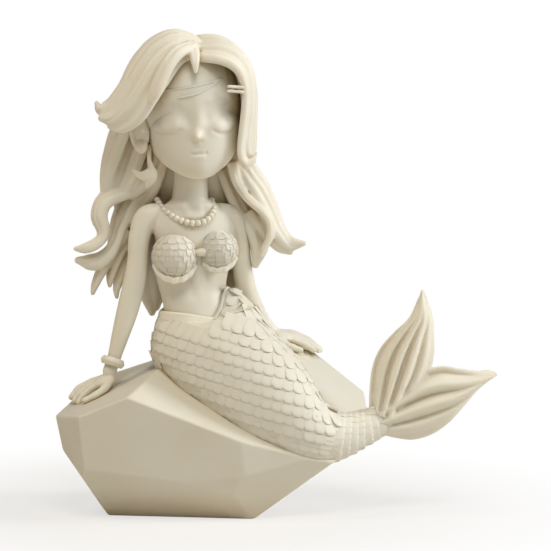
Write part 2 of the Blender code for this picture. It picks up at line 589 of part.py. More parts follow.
def upper_body():
    """Girl and hair: overlapping forms melted into one skin and thinned to an even net."""
    pieces = torso() + head() + [arm("left_arm", LEFT_ARM), arm("right_arm", RIGHT_ARM)]
    pieces += hand("left_hand", LEFT_FINGERS) + hand("right_hand", RIGHT_FINGERS)
    pieces += jewellery() + hair()
    body = joined("upper_body", pieces)
    melt = body.modifiers.new("Melt", "REMESH")
    melt.mode = "VOXEL"
    melt.voxel_size = SCULPT_GRAIN
    soften = body.modifiers.new("Soften", "SMOOTH")
    soften.factor = 0.4
    soften.iterations = 2
    as_plain_mesh(body)
    thin = body.modifiers.new("Thin", "DECIMATE")
    thin.ratio = min(1.0, UPPER_BODY_TRIANGLES / triangle_count(body.data))
    thin.use_collapse_triangulate = True
    return as_plain_mesh(body)


def cut_plane(compass, tilt, distance):
    """Point and facing of a cut, from its row in the stone's tables."""
    turn, rise = math.radians(compass), math.radians(tilt)
    facing = Vector((math.sin(turn) * math.cos(rise), -math.cos(turn) * math.cos(rise), math.sin(rise)))
    return STONE_HEART + facing * distance * MM, facing


def cut_block(name, cuts):
    """Cube cut by one plane after another, each clearing what lies on the side it faces."""
    mesh_data = bmesh.new()
    bmesh.ops.create_cube(mesh_data, size=STONE_BLANK)
    for point, facing in cuts:
        geometry = mesh_data.verts[:] + mesh_data.edges[:] + mesh_data.faces[:]
        cut = bmesh.ops.bisect_plane(mesh_data, geom=geometry, dist=0.001 * MM, plane_co=point,
                                     plane_no=facing, clear_outer=True)
        rim = [item for item in cut["geom_cut"] if isinstance(item, bmesh.types.BMEdge)]
        bmesh.ops.edgeloop_fill(mesh_data, edges=rim)
    bmesh.ops.recalc_face_normals(mesh_data, faces=mesh_data.faces)
    return add_object(name, mesh_data)


def stone():
    """Cut block with the tail's hollow taken out of it, then its edges softened."""
    cuts = [(Vector((0, 0, 0)), Vector((0, 0, -1))), (Vector((0, 0, SEAT_HEIGHT)), Vector((0, 0, 1)))]
    cuts += [cut_plane(*row) for row in STONE_CUTS.values()]
    walls = [cut_plane(*row) for row in TAIL_HOLLOW.values()]
    hollow = cut_block("tail_hollow", [(point, -facing) for point, facing in walls])
    block = combined(cut_block("stone", cuts), [hollow], "DIFFERENCE")
    soften = block.modifiers.new("Soft edges", "BEVEL")
    soften.width = STONE_EDGE
    soften.segments = 1
    soften.limit_method = "NONE"
    return as_plain_mesh(block)


def tail():
    """Fish tail from the hips to the fin, stepped in rows of scales with pointed edges."""
    steps = 6
    rows = smooth_rows(TAIL_LINE, steps)
    points = [lifted(*row[:3]) for row in rows]
    lengths = [0.0]
    for here, after in zip(points, points[1:]):
        lengths.append(lengths[-1] + (after - here).length)
    along_line = tangents(points)
    sides = 2 * SCALES_AROUND
    hint = Vector((math.cos(math.radians(CHEST_TURN)), math.sin(math.radians(CHEST_TURN)), 0.35))

    def section(distance):
        distance = min(max(distance, 0.0), lengths[-1])
        i = max(k for k in range(len(lengths) - 1) if lengths[k] <= distance)
        share = (distance - lengths[i]) / (lengths[i + 1] - lengths[i])
        centre = points[i].lerp(points[i + 1], share)
        along = along_line[i].lerp(along_line[i + 1], share).normalized()
        half_width = (rows[i][3] * (1 - share) + rows[i + 1][3] * share) * TAIL_GIRTH
        half_depth = (rows[i][4] * (1 - share) + rows[i + 1][4] * share) * TAIL_GIRTH
        side = (hint - hint.dot(along) * along)
        blend = min(1.0, distance / (30 * MM))
        level = along.cross(Vector((0, 1, 0))).normalized()
        side = side.normalized().lerp(level, blend).normalized()
        return centre, side, along.cross(side), half_width, half_depth

    def ring(distance, swell, zigzag, shift):
        """Ring of points, the odd or even ones set back along the tail to give pointed scales."""
        loop = []
        for k in range(sides):
            back = zigzag if (k + shift) % 2 else 0.0
            centre, side, outward, half_width, half_depth = section(distance - back)
            angle = 2 * math.pi * k / sides
            grow = swell * (0.35 if (k + shift) % 2 else 1.0)
            loop.append(centre + side * ((half_width + grow) * math.cos(angle))
                        + outward * ((half_depth + grow) * math.sin(angle)))
        return loop

    total = lengths[-1]
    covered = 1 - WAISTBAND_WIDTH / total
    shares = [1 - covered * (1 - number / SCALE_ROWS) ** 1.25 for number in range(SCALE_ROWS + 1)]
    rings = [ring(0, WAISTBAND_STEP, 0, 0), ring(WAISTBAND_WIDTH, WAISTBAND_STEP, 0, 0)]
    for number, (share, following) in enumerate(zip(shares, shares[1:])):
        height = (following - share) * total
        step = SCALE_STEP * min(1.0, 0.45 + height / (7 * MM))
        edge = following * total
        if number == 0:
            rings.append(ring(share * total + 0.3 * MM, 0.0, 0, 0))
        rings.append(ring(edge - 0.08 * height, step, 0.4 * height, number % 2))
        if number < SCALE_ROWS - 1:
            rings.append(ring(edge + 0.02 * height, 0.0, 0.4 * height, number % 2))
    return skin_rings("tail", rings)


def fin_lobe(name, lobe):
    """Thin folded sheet between two edges, thick at the root and sharp at its rim."""
    steps_across = 12
    edge_a = smooth_rows(lobe["edge_a"], 2)
    edge_b = smooth_rows(lobe["edge_b"], 2)
    count = len(edge_a) - 1
    mesh_data = bmesh.new()
    front, back = [], []
    for i, ((xa, za), (xb, zb)) in enumerate(zip(edge_a, edge_b)):
        out = i / count
        front_row, back_row = [], []
        for j in range(steps_across + 1):
            t = j / steps_across
            fold = math.cos(2 * math.pi * lobe["folds"] * t)
            depth = FIN_FOLD_DEPTH * math.sin(math.pi * min(1.0, 0.25 + out)) * fold
            bow = (1.5 + 2.0 * out) * MM * math.sin(math.pi * t)
            rim = min(1.0, 4 * t, 4 * (1 - t))
            wall = FIN_EDGE_THICKNESS + (FIN_ROOT_THICKNESS - FIN_EDGE_THICKNESS) * (1 - out) ** 2.5 * rim
            middle = lifted(xa + (xb - xa) * t, 0, za + (zb - za) * t)
            middle.y = FIN_Y + depth - bow + FIN_CURL * out * out
            front_row.append(mesh_data.verts.new(middle - Vector((0, wall / 2, 0))))
            back_row.append(mesh_data.verts.new(middle + Vector((0, wall / 2, 0))))
        front.append(front_row)
        back.append(back_row)
    for i in range(count):
        for j in range(steps_across):
            mesh_data.faces.new((front[i][j], front[i][j + 1], front[i + 1][j + 1], front[i + 1][j]))
            mesh_data.faces.new((back[i][j], back[i + 1][j], back[i + 1][j + 1], back[i][j + 1]))
        for j in (0, steps_across):
            mesh_data.faces.new((front[i][j], front[i + 1][j], back[i + 1][j], back[i][j]))
    for i in (0, count):
        for j in range(steps_across):
            mesh_data.faces.new((front[i][j], back[i][j], back[i][j + 1], front[i][j + 1]))
    bmesh.ops.recalc_face_normals(mesh_data, faces=mesh_data.faces)
    return add_object(name, mesh_data)


def combined(target, others, operation):
    """Union of one body with others, or what they leave of it, and the others are removed."""
    for other in others:
        step = target.modifiers.new("Combine", "BOOLEAN")
        step.operation = operation
        step.solver = "EXACT"
        step.object = other
        as_plain_mesh(target)
        bpy.data.objects.remove(other, do_unlink=True)
    return target


def cast_material():
    material = bpy.data.materials.new("cast_resin")
    material.use_nodes = True
    shader = material.node_tree.nodes["Principled BSDF"]
    shader.inputs["Base Color"].default_value = CAST_COLOUR
    shader.inputs["Roughness"].default_value = 0.55
    shader.inputs["Metallic"].default_value = 0.0
    return material


def main():
    clear_scene()
    others = [tail(), fin_lobe("upper_lobe", UPPER_LOBE), fin_lobe("lower_lobe", LOWER_LOBE), upper_body()]
    figurine = combined(stone(), others, "UNION")
    figurine.name = "figurine"
    figurine.data.name = "figurine"
    figurine.data.materials.clear()
    figurine.data.materials.append(cast_material())
    figurine.data.shade_smooth()
    figurine.data.set_sharp_from_angle(angle=math.radians(30))
    print("figurine triangles", triangle_count(figurine.data))


main()
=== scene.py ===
# %% [markdown]
# A mermaid figurine, cast in one piece from ivory resin: a girl with closed eyes and long wavy
# hair sits on a cut stone, leans on one hand, and her fish tail ends in a folded fin. The
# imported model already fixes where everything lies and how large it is. This script dresses it:
# it models each part of the casting again with a finer skin and gives it the look of resin.

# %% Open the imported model
import math
import random

import bmesh
import bpy
import numpy as np
from mathutils import Matrix, Vector
from mathutils.bvhtree import BVHTree


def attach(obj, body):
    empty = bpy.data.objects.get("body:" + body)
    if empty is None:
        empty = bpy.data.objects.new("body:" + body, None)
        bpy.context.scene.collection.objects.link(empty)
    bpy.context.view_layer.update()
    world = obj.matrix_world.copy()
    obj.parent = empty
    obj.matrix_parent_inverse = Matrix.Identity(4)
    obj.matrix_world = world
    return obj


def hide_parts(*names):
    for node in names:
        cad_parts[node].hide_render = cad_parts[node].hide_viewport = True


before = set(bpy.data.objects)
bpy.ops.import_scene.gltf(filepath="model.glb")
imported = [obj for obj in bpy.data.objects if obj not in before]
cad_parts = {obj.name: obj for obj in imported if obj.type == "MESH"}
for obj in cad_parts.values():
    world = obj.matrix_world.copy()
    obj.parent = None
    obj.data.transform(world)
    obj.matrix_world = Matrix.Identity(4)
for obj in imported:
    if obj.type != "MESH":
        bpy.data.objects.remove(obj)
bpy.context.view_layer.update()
MM = 0.001

# %% [markdown]
# The sculpting is done in millimetres, because numbers such as 2.4 are easier to read than
# 0.0024, and every finished piece is brought to metres at the very end. A few helpers serve all
# pieces: a smooth curve through hand-set rows, a closed skin over rings, a ring, a tube, a ball.

# %% Curves, skins, rings, tubes and balls
def smooth_rows(rows, steps):
    """Rows of numbers read from a smooth curve through the given rows."""
    last = len(rows) - 1
    result = []
    for i in range(last):
        before, here = rows[max(i - 1, 0)], rows[i]
        after, beyond = rows[i + 1], rows[min(i + 2, last)]
        for step in range(steps):
            t = step / steps
            row = []
            for a, b, c, d in zip(before, here, after, beyond):
                bend = (2 * a - 5 * b + 4 * c - d) * t * t + (3 * b - a - 3 * c + d) * t ** 3
                row.append(0.5 * (2 * b + (c - a) * t + bend))
            result.append(tuple(row))
    result.append(tuple(rows[last]))
    return result


def tangents(points):
    last = len(points) - 1
    return [(points[min(i + 1, last)] - points[max(i - 1, 0)]).normalized() for i in range(last + 1)]


def add_skin(clay, rings):
    """Closed body over rings of points, each end closed with a fan."""
    loops = [[clay.verts.new(point) for point in ring] for ring in rings]
    count = len(loops[0])
    for lower, upper in zip(loops, loops[1:]):
        for k in range(count):
            following = (k + 1) % count
            clay.faces.new((lower[k], lower[following], upper[following], upper[k]))
    for loop in (loops[0], loops[-1]):
        centre = clay.verts.new(sum((v.co for v in loop), Vector()) / count)
        for k in range(count):
            clay.faces.new((loop[k], loop[(k + 1) % count], centre))


def add_ring(clay, loops):
    """Closed ring over loops of vertices, the last loop joined to the first."""
    for here, after in zip(loops, loops[1:] + loops[:1]):
        count = len(here)
        for j in range(count):
            clay.faces.new((here[j], here[(j + 1) % count], after[(j + 1) % count], after[j]))


def add_tube(clay, points, radii, sides=24, side_hint=Vector((1, 0, 0))):
    """Tube with round ends; radii are (half-width, half-depth), the width lies along the hint."""
    stations = list(zip(points, tangents(points), radii))
    for end, facing in ((0, -1), (-1, 1)):
        point, along, (wide, deep) = stations[end]
        caps = []
        for angle in (30, 60, 80):
            share = math.cos(math.radians(angle))
            shift = along * (facing * min(wide, deep) * math.sin(math.radians(angle)))
            caps.append((point + shift, along, (wide * share, deep * share)))
        stations = stations + caps if end else caps[::-1] + stations
    rings = []
    for point, along, (wide, deep) in stations:
        across = (side_hint - side_hint.dot(along) * along).normalized()
        outward = along.cross(across)
        turns = [2 * math.pi * k / sides for k in range(sides)]
        rings.append([point + across * (wide * math.cos(turn)) + outward * (deep * math.sin(turn))
                      for turn in turns])
    add_skin(clay, rings)


def add_ball(clay, centre, radii, turn=Matrix.Identity(4)):
    place = Matrix.Translation(centre) @ turn @ Matrix.Diagonal((*radii, 1.0))
    bmesh.ops.create_icosphere(clay, subdivisions=4, radius=1.0, matrix=place)


# %% [markdown]
# A sculptor presses separate bits of clay together and smooths the joins with a thumb. Blender's
# voxel remesh does the same with overlapping closed forms: it melts them into one skin with an
# even net, and a few rounds of smoothing take the stair steps away. `melted` does that, and clears
# away the tiny bubbles that melting can leave inside a form.

# %% Clay into one skin
BUBBLE_CORNERS = 60


def as_object(name, clay):
    bmesh.ops.recalc_face_normals(clay, faces=clay.faces)
    mesh = bpy.data.meshes.new(name)
    clay.to_mesh(mesh)
    clay.free()
    piece = bpy.data.objects.new(name, mesh)
    bpy.context.scene.collection.objects.link(piece)
    return piece


def as_plain_mesh(piece):
    """Put what the modifiers make in place of an object's mesh, and drop the modifiers."""
    bpy.context.view_layer.update()
    graph = bpy.context.evaluated_depsgraph_get()
    mesh = bpy.data.meshes.new_from_object(piece.evaluated_get(graph))
    piece.modifiers.clear()
    piece.data = mesh
    return piece


def clear_bubbles(piece):
    """Delete the separate bits of a mesh that have only a few corners."""
    clay = bmesh.new()
    clay.from_mesh(piece.data)
    for vert in clay.verts:
        vert.tag = False
    bubbles = []
    for first in clay.verts:
        if first.tag:
            continue
        first.tag = True
        bit = [first]
        for vert in bit:
            for edge in vert.link_edges:
                other = edge.other_vert(vert)
                if not other.tag:
                    other.tag = True
                    bit.append(other)
        if len(bit) < BUBBLE_CORNERS:
            bubbles += bit
    if bubbles:
        bmesh.ops.delete(clay, geom=bubbles, context="VERTS")
        clay.to_mesh(piece.data)
        print(piece.name, "corners of bubbles cleared:", len(bubbles))
    clay.free()


def melted(name, clay, grain, rounds):
    piece = as_object(name, clay)
    melt = piece.modifiers.new("Melt", "REMESH")
    melt.mode = "VOXEL"
    melt.voxel_size = grain
    soften = piece.modifiers.new("Soften", "SMOOTH")
    soften.factor = 0.5
    soften.iterations = rounds
    as_plain_mesh(piece)
    clear_bubbles(piece)
    print(name, "faces after melting:", len(piece.data.polygons))
    return piece


# %% [markdown]
# Fine forms such as eyelids, lips and a collarbone are drawn into the melted skin with strokes:
# a stroke is a short line, and all skin near it is pushed out or pressed in, most of all on the
# line itself and less and less away from it.

# %% Strokes pressed into the skin
def skin_of(piece):
    count = len(piece.data.vertices)
    places = np.empty(count * 3)
    normals = np.empty(count * 3)
    piece.data.vertices.foreach_get("co", places)
    piece.data.vertices.foreach_get("normal", normals)
    return places.reshape(-1, 3), normals.reshape(-1, 3)


def reach(places, stroke):
    """Distance of every place from a line of points."""
    nearest = np.full(len(places), np.inf)
    line = np.array(list(stroke) * 2 if len(stroke) == 1 else stroke, float)
    for start, end in zip(line[:-1], line[1:]):
        run = end - start
        share = np.clip((places - start) @ run / max(run @ run, 1e-9), 0, 1)
        nearest = np.minimum(nearest, np.linalg.norm(places - start - share[:, None] * run, axis=1))
    return nearest


def press(piece, strokes, seen_from=None, allowed=None):
    """Strokes are (line, radius, height); seen_from turns skin places into the strokes' space."""
    places, normals = skin_of(piece)
    drawn = places if seen_from is None else seen_from(places)
    shift = np.zeros(len(places))
    for line, radius, height in strokes:
        shift += height * np.exp(-(reach(drawn, line) / radius) ** 2)
    if allowed is not None:
        shift *= allowed(places)
    piece.data.vertices.foreach_set("co", (places + normals * shift[:, None]).ravel())
    piece.data.update()


# %% [markdown]
# The whole casting is one resin: ivory, matt, and a little translucent, so light goes in a
# millimetre or two and softens every edge. Painted shade makes the hollows warmer and darker than
# the ridges where ambient occlusion finds them, and a faint cloudiness and a fine grain
# keep large surfaces from looking like plastic. The thin scales let less light in, and the stone
# is a little deeper in tone and shows thin level lines.

# %% The resin
IVORY = (0.81, 0.78, 0.68, 1.0)
# Painted shade: the warm tan laid into hollows and creases, where shade falls.
PAINTED_SHADE = (0.58, 0.46, 0.27, 1.0)
CLOUD = (0.79, 0.74, 0.61, 1.0)


def resin(name, roughness=0.5, grain_height=0.00003, painted_shade_reach=0.005, painted_shade_amount=0.6, line_pitch=None,
          glow=0.4, depth_of_tone=1.0):
    material = bpy.data.materials.new(name)
    material.use_nodes = True
    nodes, links = material.node_tree.nodes, material.node_tree.links
    shader = nodes["Principled BSDF"]
    shader.inputs["Roughness"].default_value = roughness
    shader.inputs["Specular IOR Level"].default_value = 0.35
    shader.inputs["Subsurface Weight"].default_value = glow
    shader.inputs["Subsurface Radius"].default_value = (1.0, 0.75, 0.5)
    shader.inputs["Subsurface Scale"].default_value = 0.002
    place = nodes.new("ShaderNodeTexCoord")

    def noise(scale, detail):
        node = nodes.new("ShaderNodeTexNoise")
        node.inputs["Scale"].default_value = scale
        node.inputs["Detail"].default_value = detail
        links.new(place.outputs["Object"], node.inputs["Vector"])
        return node

    def mixed(factor, first, second):
        node = nodes.new("ShaderNodeMix")
        node.data_type = "RGBA"
        links.new(factor, node.inputs["Factor"])
        for socket, value in ((node.inputs[6], first), (node.inputs[7], second)):
            if isinstance(value, tuple):
                socket.default_value = value
            else:
                links.new(value, socket)
        return node.outputs[2]

    clouds = nodes.new("ShaderNodeMapRange")
    clouds.inputs["From Min"].default_value = 0.42
    clouds.inputs["From Max"].default_value = 0.72
    clouds.inputs["To Max"].default_value = 0.6
    links.new(noise(55, 3).outputs["Fac"], clouds.inputs["Value"])
    ivory, cloud = ((*(share * depth_of_tone for share in tone[:3]), 1.0) for tone in (IVORY, CLOUD))
    cast = mixed(clouds.outputs["Result"], ivory, cloud)

    # Painted shade: ambient occlusion turns the colour towards the warm tan in hollows, creases and gaps.
    hollow = nodes.new("ShaderNodeAmbientOcclusion")
    hollow.inputs["Distance"].default_value = painted_shade_reach
    hollow.samples = 8
    depth = nodes.new("ShaderNodeMapRange")
    depth.inputs["From Min"].default_value = 0.1
    depth.inputs["From Max"].default_value = 0.8
    depth.inputs["To Min"].default_value = painted_shade_amount
    depth.inputs["To Max"].default_value = 0.0
    links.new(hollow.outputs["AO"], depth.inputs["Value"])
    links.new(mixed(depth.outputs["Result"], cast, PAINTED_SHADE), shader.inputs["Base Color"])

    bump = nodes.new("ShaderNodeBump")
    bump.inputs["Distance"].default_value = grain_height
    bump.inputs["Strength"].default_value = 0.6
    links.new(noise(1400, 2).outputs["Fac"], bump.inputs["Height"])
    links.new(bump.outputs["Normal"], shader.inputs["Normal"])
    if line_pitch:
        lines = nodes.new("ShaderNodeTexWave")
        lines.bands_direction = "Z"
        lines.inputs["Scale"].default_value = math.pi / (10 * line_pitch)
        lines.inputs["Distortion"].default_value = 2.5
        lines.inputs["Detail"].default_value = 3
        lines.inputs["Detail Scale"].default_value = 0.8
        links.new(place.outputs["Object"], lines.inputs["Vector"])
        layers = nodes.new("ShaderNodeBump")
        layers.inputs["Distance"].default_value = 0.00002
        layers.inputs["Strength"].default_value = 0.4
        links.new(lines.outputs["Fac"], layers.inputs["Height"])
        links.new(bump.outputs["Normal"], layers.inputs["Normal"])
        links.new(layers.outputs["Normal"], shader.inputs["Normal"])
    return material


# Every resin darkens its hollows with painted shade: the hair more, the scales less and over a shorter reach,
# the stone over a longer one.
SKIN_RESIN = resin("smooth_resin", roughness=0.48)
HAIR_RESIN = resin("combed_resin", roughness=0.5, painted_shade_reach=0.008, painted_shade_amount=0.85)
SCALE_RESIN = resin("scaled_resin", roughness=0.5, painted_shade_reach=0.002, painted_shade_amount=0.3, glow=0.12)
STONE_RESIN = resin("layered_resin", roughness=0.55, painted_shade_reach=0.012, line_pitch=0.0008,
                    depth_of_tone=0.91)
print("materials:", [material.name for material in bpy.data.materials])


# %% [markdown]
# Every finished piece goes through `cast`. The finest nets have more triangles than their form
# needs, so a fifth of those are merged into their neighbours, which moves the skin by far less
# than the width of a triangle.

# %% Hand a finished piece over
FINE_NET = 95000
KEPT_SHARE = 0.8


def triangles_of(piece):
    piece.data.calc_loop_triangles()
    return len(piece.data.loop_triangles)


def cast(piece, material, smooth=True):
    """Bring a piece to metres, give it its resin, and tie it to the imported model."""
    if triangles_of(piece) > FINE_NET:
        thin = piece.modifiers.new("Thin", "DECIMATE")
        thin.ratio = KEPT_SHARE
        as_plain_mesh(piece)
    piece.data.transform(Matrix.Scale(MM, 4))
    piece.data.materials.clear()
    piece.data.materials.append(material)
    if smooth:
        piece.data.shade_smooth()
    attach(piece, "root")
    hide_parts("figurine")
    print("cast", piece.name, "with", triangles_of(piece), "triangles")


# %% [markdown]
# The stone is what it looks like: a block sawn by one plane after another. Each cut is given by
# the way it faces, its tilt, and how far it lies from the stone's heart, and the flat top is the
# seat. The tail lies in a hollow, which a second block takes out of the first. A narrow bevel
# with four steps gives the worn edge that catches the light.

# %% Stone
SEAT_HEIGHT = 51.4
STONE_HEART = Vector((0, 0, 25))
STONE_EDGE = 0.75
STONE_CUTS = {
    "front": (-4, -3, 32.8),
    "chip": (-3, -18, 34.2),
    "band": (-9, -38, 32.4),
    "left": (-64, -7, 43.2),
    "left_underside": (-81, -34, 37.0),
    "hand_slope": (-79, 67, 24.6),
    "back_slope_left": (-96, 74, 24.4),
    "front_right": (11, -1, 37.2),
    "low_right": (17, -26, 38.4),
    "right_slope": (63, 48, 39.1),
    "right_end": (91, 7, 61.2),
    "right_underside": (90, -54, 33.8),
    "back": (170, 12, 29.7),
    "back_left": (-112, -15, 31.8),
    "back_far_left": (-150, 10, 33.0),
    "back_right": (130, -10, 55.0),
    "back_underside": (176, -36, 27.0),
}
TAIL_HOLLOW = {
    "floor": (43, 62, 19.8),
    "rear_wall": (-17, 0, -1.4),
}


def cut_plane(compass, tilt, distance):
    turn, rise = math.radians(compass), math.radians(tilt)
    facing = Vector((math.sin(turn) * math.cos(rise), -math.cos(turn) * math.cos(rise), math.sin(rise)))
    return STONE_HEART + facing * distance, facing


BLOCK_PLANES = [(Vector((0, 0, 0)), Vector((0, 0, -1))), (Vector((0, 0, SEAT_HEIGHT)), Vector((0, 0, 1)))]
BLOCK_PLANES += [cut_plane(*row) for row in STONE_CUTS.values()]
HOLLOW_PLANES = [cut_plane(*row) for row in TAIL_HOLLOW.values()]


def depth_in_stone(point):
    """How far a point lies inside the stone, negative outside."""
    in_block = min((place - point).dot(facing) for place, facing in BLOCK_PLANES)
    out_of_hollow = max((place - point).dot(facing) for place, facing in HOLLOW_PLANES)
    return min(in_block, out_of_hollow)


def cut_block(name, planes):
    block = bmesh.new()
    bmesh.ops.create_cube(block, size=200)
    for place, facing in planes:
        geometry = block.verts[:] + block.edges[:] + block.faces[:]
        cut = bmesh.ops.bisect_plane(block, geom=geometry, dist=0.001, plane_co=place,
                                     plane_no=facing, clear_outer=True)
        rim = [item for item in cut["geom_cut"] if isinstance(item, bmesh.types.BMEdge)]
        bmesh.ops.edgeloop_fill(block, edges=rim)
    return as_object(name, block)


def make_stone():
    piece = cut_block("stone", BLOCK_PLANES)
    hollow = cut_block("hollow", [(place, -facing) for place, facing in HOLLOW_PLANES])
    carve = piece.modifiers.new("Tail hollow", "BOOLEAN")
    carve.operation = "DIFFERENCE"
    carve.solver = "EXACT"
    carve.object = hollow
    worn = piece.modifiers.new("Worn edges", "BEVEL")
    worn.width = STONE_EDGE
    worn.segments = 4
    worn.limit_method = "NONE"
    as_plain_mesh(piece)
    bpy.data.objects.remove(hollow, do_unlink=True)
    cast(piece, STONE_RESIN, smooth=False)


make_stone()

# %% [markdown]
# The head is an egg with full cheeks and a small chin, closed from section to section. Its own
# frame is turned a little to the viewer's right and tipped, so the face is drawn in that frame:
# wide shallow sockets, round closed lids, a button nose and a thin calm mouth.

# %% Head
HEAD_CENTRE = Vector((2.4, 0.5, 131.5))
HEAD_HALF_WIDTH = 15.4
HEAD_HALF_DEPTH = 16.5
HEAD_TURN = 8
HEAD_TILT = -4
HEAD_SECTIONS = [
    (-20.4, 0.10, 0.12, 9.6),
    (-19.6, 0.30, 0.28, 8.6),
    (-17.9, 0.50, 0.48, 6.6),
    (-15.6, 0.70, 0.68, 4.4),
    (-13.2, 0.84, 0.84, 2.4),
    (-10.2, 0.94, 0.94, 1.0),
    (-5.0, 1.00, 0.99, 0.2),
    (1.0, 1.00, 1.00, 0.0),
    (7.0, 0.99, 1.00, -0.3),
    (13.0, 0.92, 0.95, -0.8),
    (18.5, 0.76, 0.80, -1.0),
    (22.0, 0.50, 0.55, -1.0),
    (23.8, 0.20, 0.22, -1.0),
]
HEAD_GRAIN = 0.27
EYE_APART = 8.7
HEAD_FRAME = (Matrix.Translation(HEAD_CENTRE) @ Matrix.Rotation(math.radians(HEAD_TURN), 4, "Z")
              @ Matrix.Rotation(math.radians(HEAD_TILT), 4, "Y"))


def in_head(places):
    back = np.array(HEAD_FRAME.inverted())
    return places @ back[:3, :3].T + back[:3, 3]


def face_strokes():
    """Strokes on the face as seen from the front, (sideways, up) from the middle of the head."""
    strokes = [
        ([(0, 1.0), (-0.6, -4.0)], 1.9, 0.35),
        ([(-0.9, -5.7)], 1.7, 1.6),
        ([(-0.9, -6.1)], 1.0, 0.9),
        ([(-2.1, -7.5), (0.3, -7.5)], 0.8, -0.4),
        ([(-3.1, -11.5), (-1.8, -11.75), (-0.7, -11.6), (0.4, -11.75), (1.7, -11.5)], 0.5, -0.4),
        ([(-2.2, -10.9), (0.8, -10.9)], 0.8, 0.2),
        ([(-1.9, -12.7), (0.5, -12.7)], 0.9, 0.35),
        ([(-0.5, -16.4)], 3.2, 0.5),
        ([(-6, 9), (6, 9)], 6.0, 0.4),
    ]
    for side in (-1, 1):
        eye = side * EYE_APART - 0.5
        lift = -0.55 * side
        strokes += [
            ([(eye - side * 1.8, 1.2 + lift), (eye + side * 1.8, 1.0 + lift)], 4.4, -1.5),
            ([(side * 3.8, -0.4 + lift)], 2.2, -0.6),
            ([(eye - side * 1.5, -2.0 + lift), (eye + side * 1.5, -2.1 + lift)], 3.2, 2.2),
            ([(eye - side * 3.4, -4.0 + lift), (eye - side * 1.8, -5.0 + lift), (eye, -5.4 + lift),
              (eye + side * 1.8, -5.0 + lift), (eye + side * 3.4, -4.0 + lift)], 0.7, -0.35),
            ([(eye - side * 4.0, 5.4), (eye - side * 0.5, 6.4), (eye + side * 4.0, 5.2)], 1.4, 0.3),
            ([(side * 8.6, -9.8)], 4.4, 0.5),
        ]
    return strokes


def make_head():
    clay = bmesh.new()
    rings = []
    for height, width, depth, forward in smooth_rows(HEAD_SECTIONS, 6):
        turns = [2 * math.pi * k / 96 for k in range(96)]
        rings.append([HEAD_FRAME @ Vector((HEAD_HALF_WIDTH * width * math.cos(turn),
                                           HEAD_HALF_DEPTH * depth * math.sin(turn) - forward, height))
                      for turn in turns])
    add_skin(clay, rings)
    piece = melted("head", clay, HEAD_GRAIN, 6)
    press(piece, face_strokes(), lambda places: in_head(places)[:, [0, 2]],
          lambda places: np.clip((-4 - in_head(places)[:, 1]) / 3, 0, 1))
    cast(piece, SKIN_RESIN)


make_head()

# %% [markdown]
# The ear is a small form of its own, half under the hair: a thin shell, a rim that turns round it
# and a full lobe. It is drawn flat, (outwards, up), and set on the side of the head so that it
# faces forwards and a little out.

# %% Ear
EAR_MIDDLE = HEAD_FRAME @ Vector((-18.2, -2.8, -4.4))
EAR_OUTWARDS = Vector((-0.88, 0.47, 0.08)).normalized()
EAR_FACING = Vector((-0.47, -0.88, 0.0)).normalized()
EAR_RIM = [(-1.9, 1.6), (-1.8, 3.6), (-0.6, 5.4), (1.2, 5.6), (2.6, 4.0), (2.9, 1.2), (2.3, -1.8),
           (1.1, -4.2), (-0.4, -5.6), (-1.7, -5.0), (-2.0, -3.2)]


def on_ear(outwards, up, proud=0.0):
    return EAR_MIDDLE + EAR_OUTWARDS * outwards + Vector((0, 0, up)) + EAR_FACING * proud


def make_ear():
    clay = bmesh.new()
    turn = Matrix((EAR_OUTWARDS, EAR_FACING, Vector((0, 0, 1)))).transposed().to_4x4()
    add_ball(clay, on_ear(-0.4, 0.2, -0.2), (3.2, 1.1, 5.2), turn)
    add_ball(clay, on_ear(-0.8, -4.1, 0.3), (2.2, 1.6, 2.2), turn)
    rim = [on_ear(*row, 0.3) for row in smooth_rows(EAR_RIM, 5)]
    add_tube(clay, rim, [(1.1, 1.1)] * len(rim), 16, EAR_FACING)
    cast(melted("ear", clay, 0.25, 4), SKIN_RESIN)


make_ear()

# %% [markdown]
# The body is slender and smooth. Its trunk runs through level sections that share one function,
# because the bodice, the pearls and the waistband all lie on the same skin and ask it where it
# is. Arms are round tubes that thin towards the wrist, and hands are a palm with four fingers
# and a thumb. All of it is melted, and then strokes add collarbones, waist lines and a spine.

# %% The skin of the trunk
CHEST_HALF_WIDTH = 13.6
CHEST_HALF_DEPTH = 8.0
CHEST_TURN = 13
TORSO = smooth_rows([
    (104.0, 1.7, 1.0, 0.43, 0.70),
    (101.0, 2.2, 0.8, 0.74, 0.70),
    (98.6, 2.8, 0.8, 1.00, 0.75),
    (94.5, 3.0, 0.6, 1.05, 0.88),
    (88.0, 3.2, 0.6, 0.96, 0.96),
    (79.5, 2.1, 1.0, 0.91, 0.90),
    (74.0, 2.3, 1.0, 0.84, 0.87),
    (69.0, 3.4, 0.6, 0.82, 0.95),
    (62.0, 5.0, 0.0, 0.88, 1.12),
    (56.0, 6.6, -1.2, 0.98, 1.22),
], 6)
TRUNK_HEIGHTS = [row[0] for row in TORSO][::-1]


def trunk_section(height):
    """Middle of the trunk at a height, (x, y), and its shares of the chest's half-width and depth."""
    return [np.interp(height, TRUNK_HEIGHTS, [row[i] for row in TORSO][::-1]) for i in range(1, 5)]


def on_trunk(compass, height, proud=0.0):
    """Point of the trunk's skin: compass 0 faces the viewer's right, -90 the viewer."""
    x, y, width, depth = trunk_section(height)
    turn, chest = math.radians(compass), math.radians(CHEST_TURN)
    wide = (width * CHEST_HALF_WIDTH + proud) * math.cos(turn - chest)
    deep = (depth * CHEST_HALF_DEPTH + proud) * math.sin(turn - chest)
    return Vector((x + wide * math.cos(chest) - deep * math.sin(chest),
                   y + wide * math.sin(chest) + deep * math.cos(chest), height))


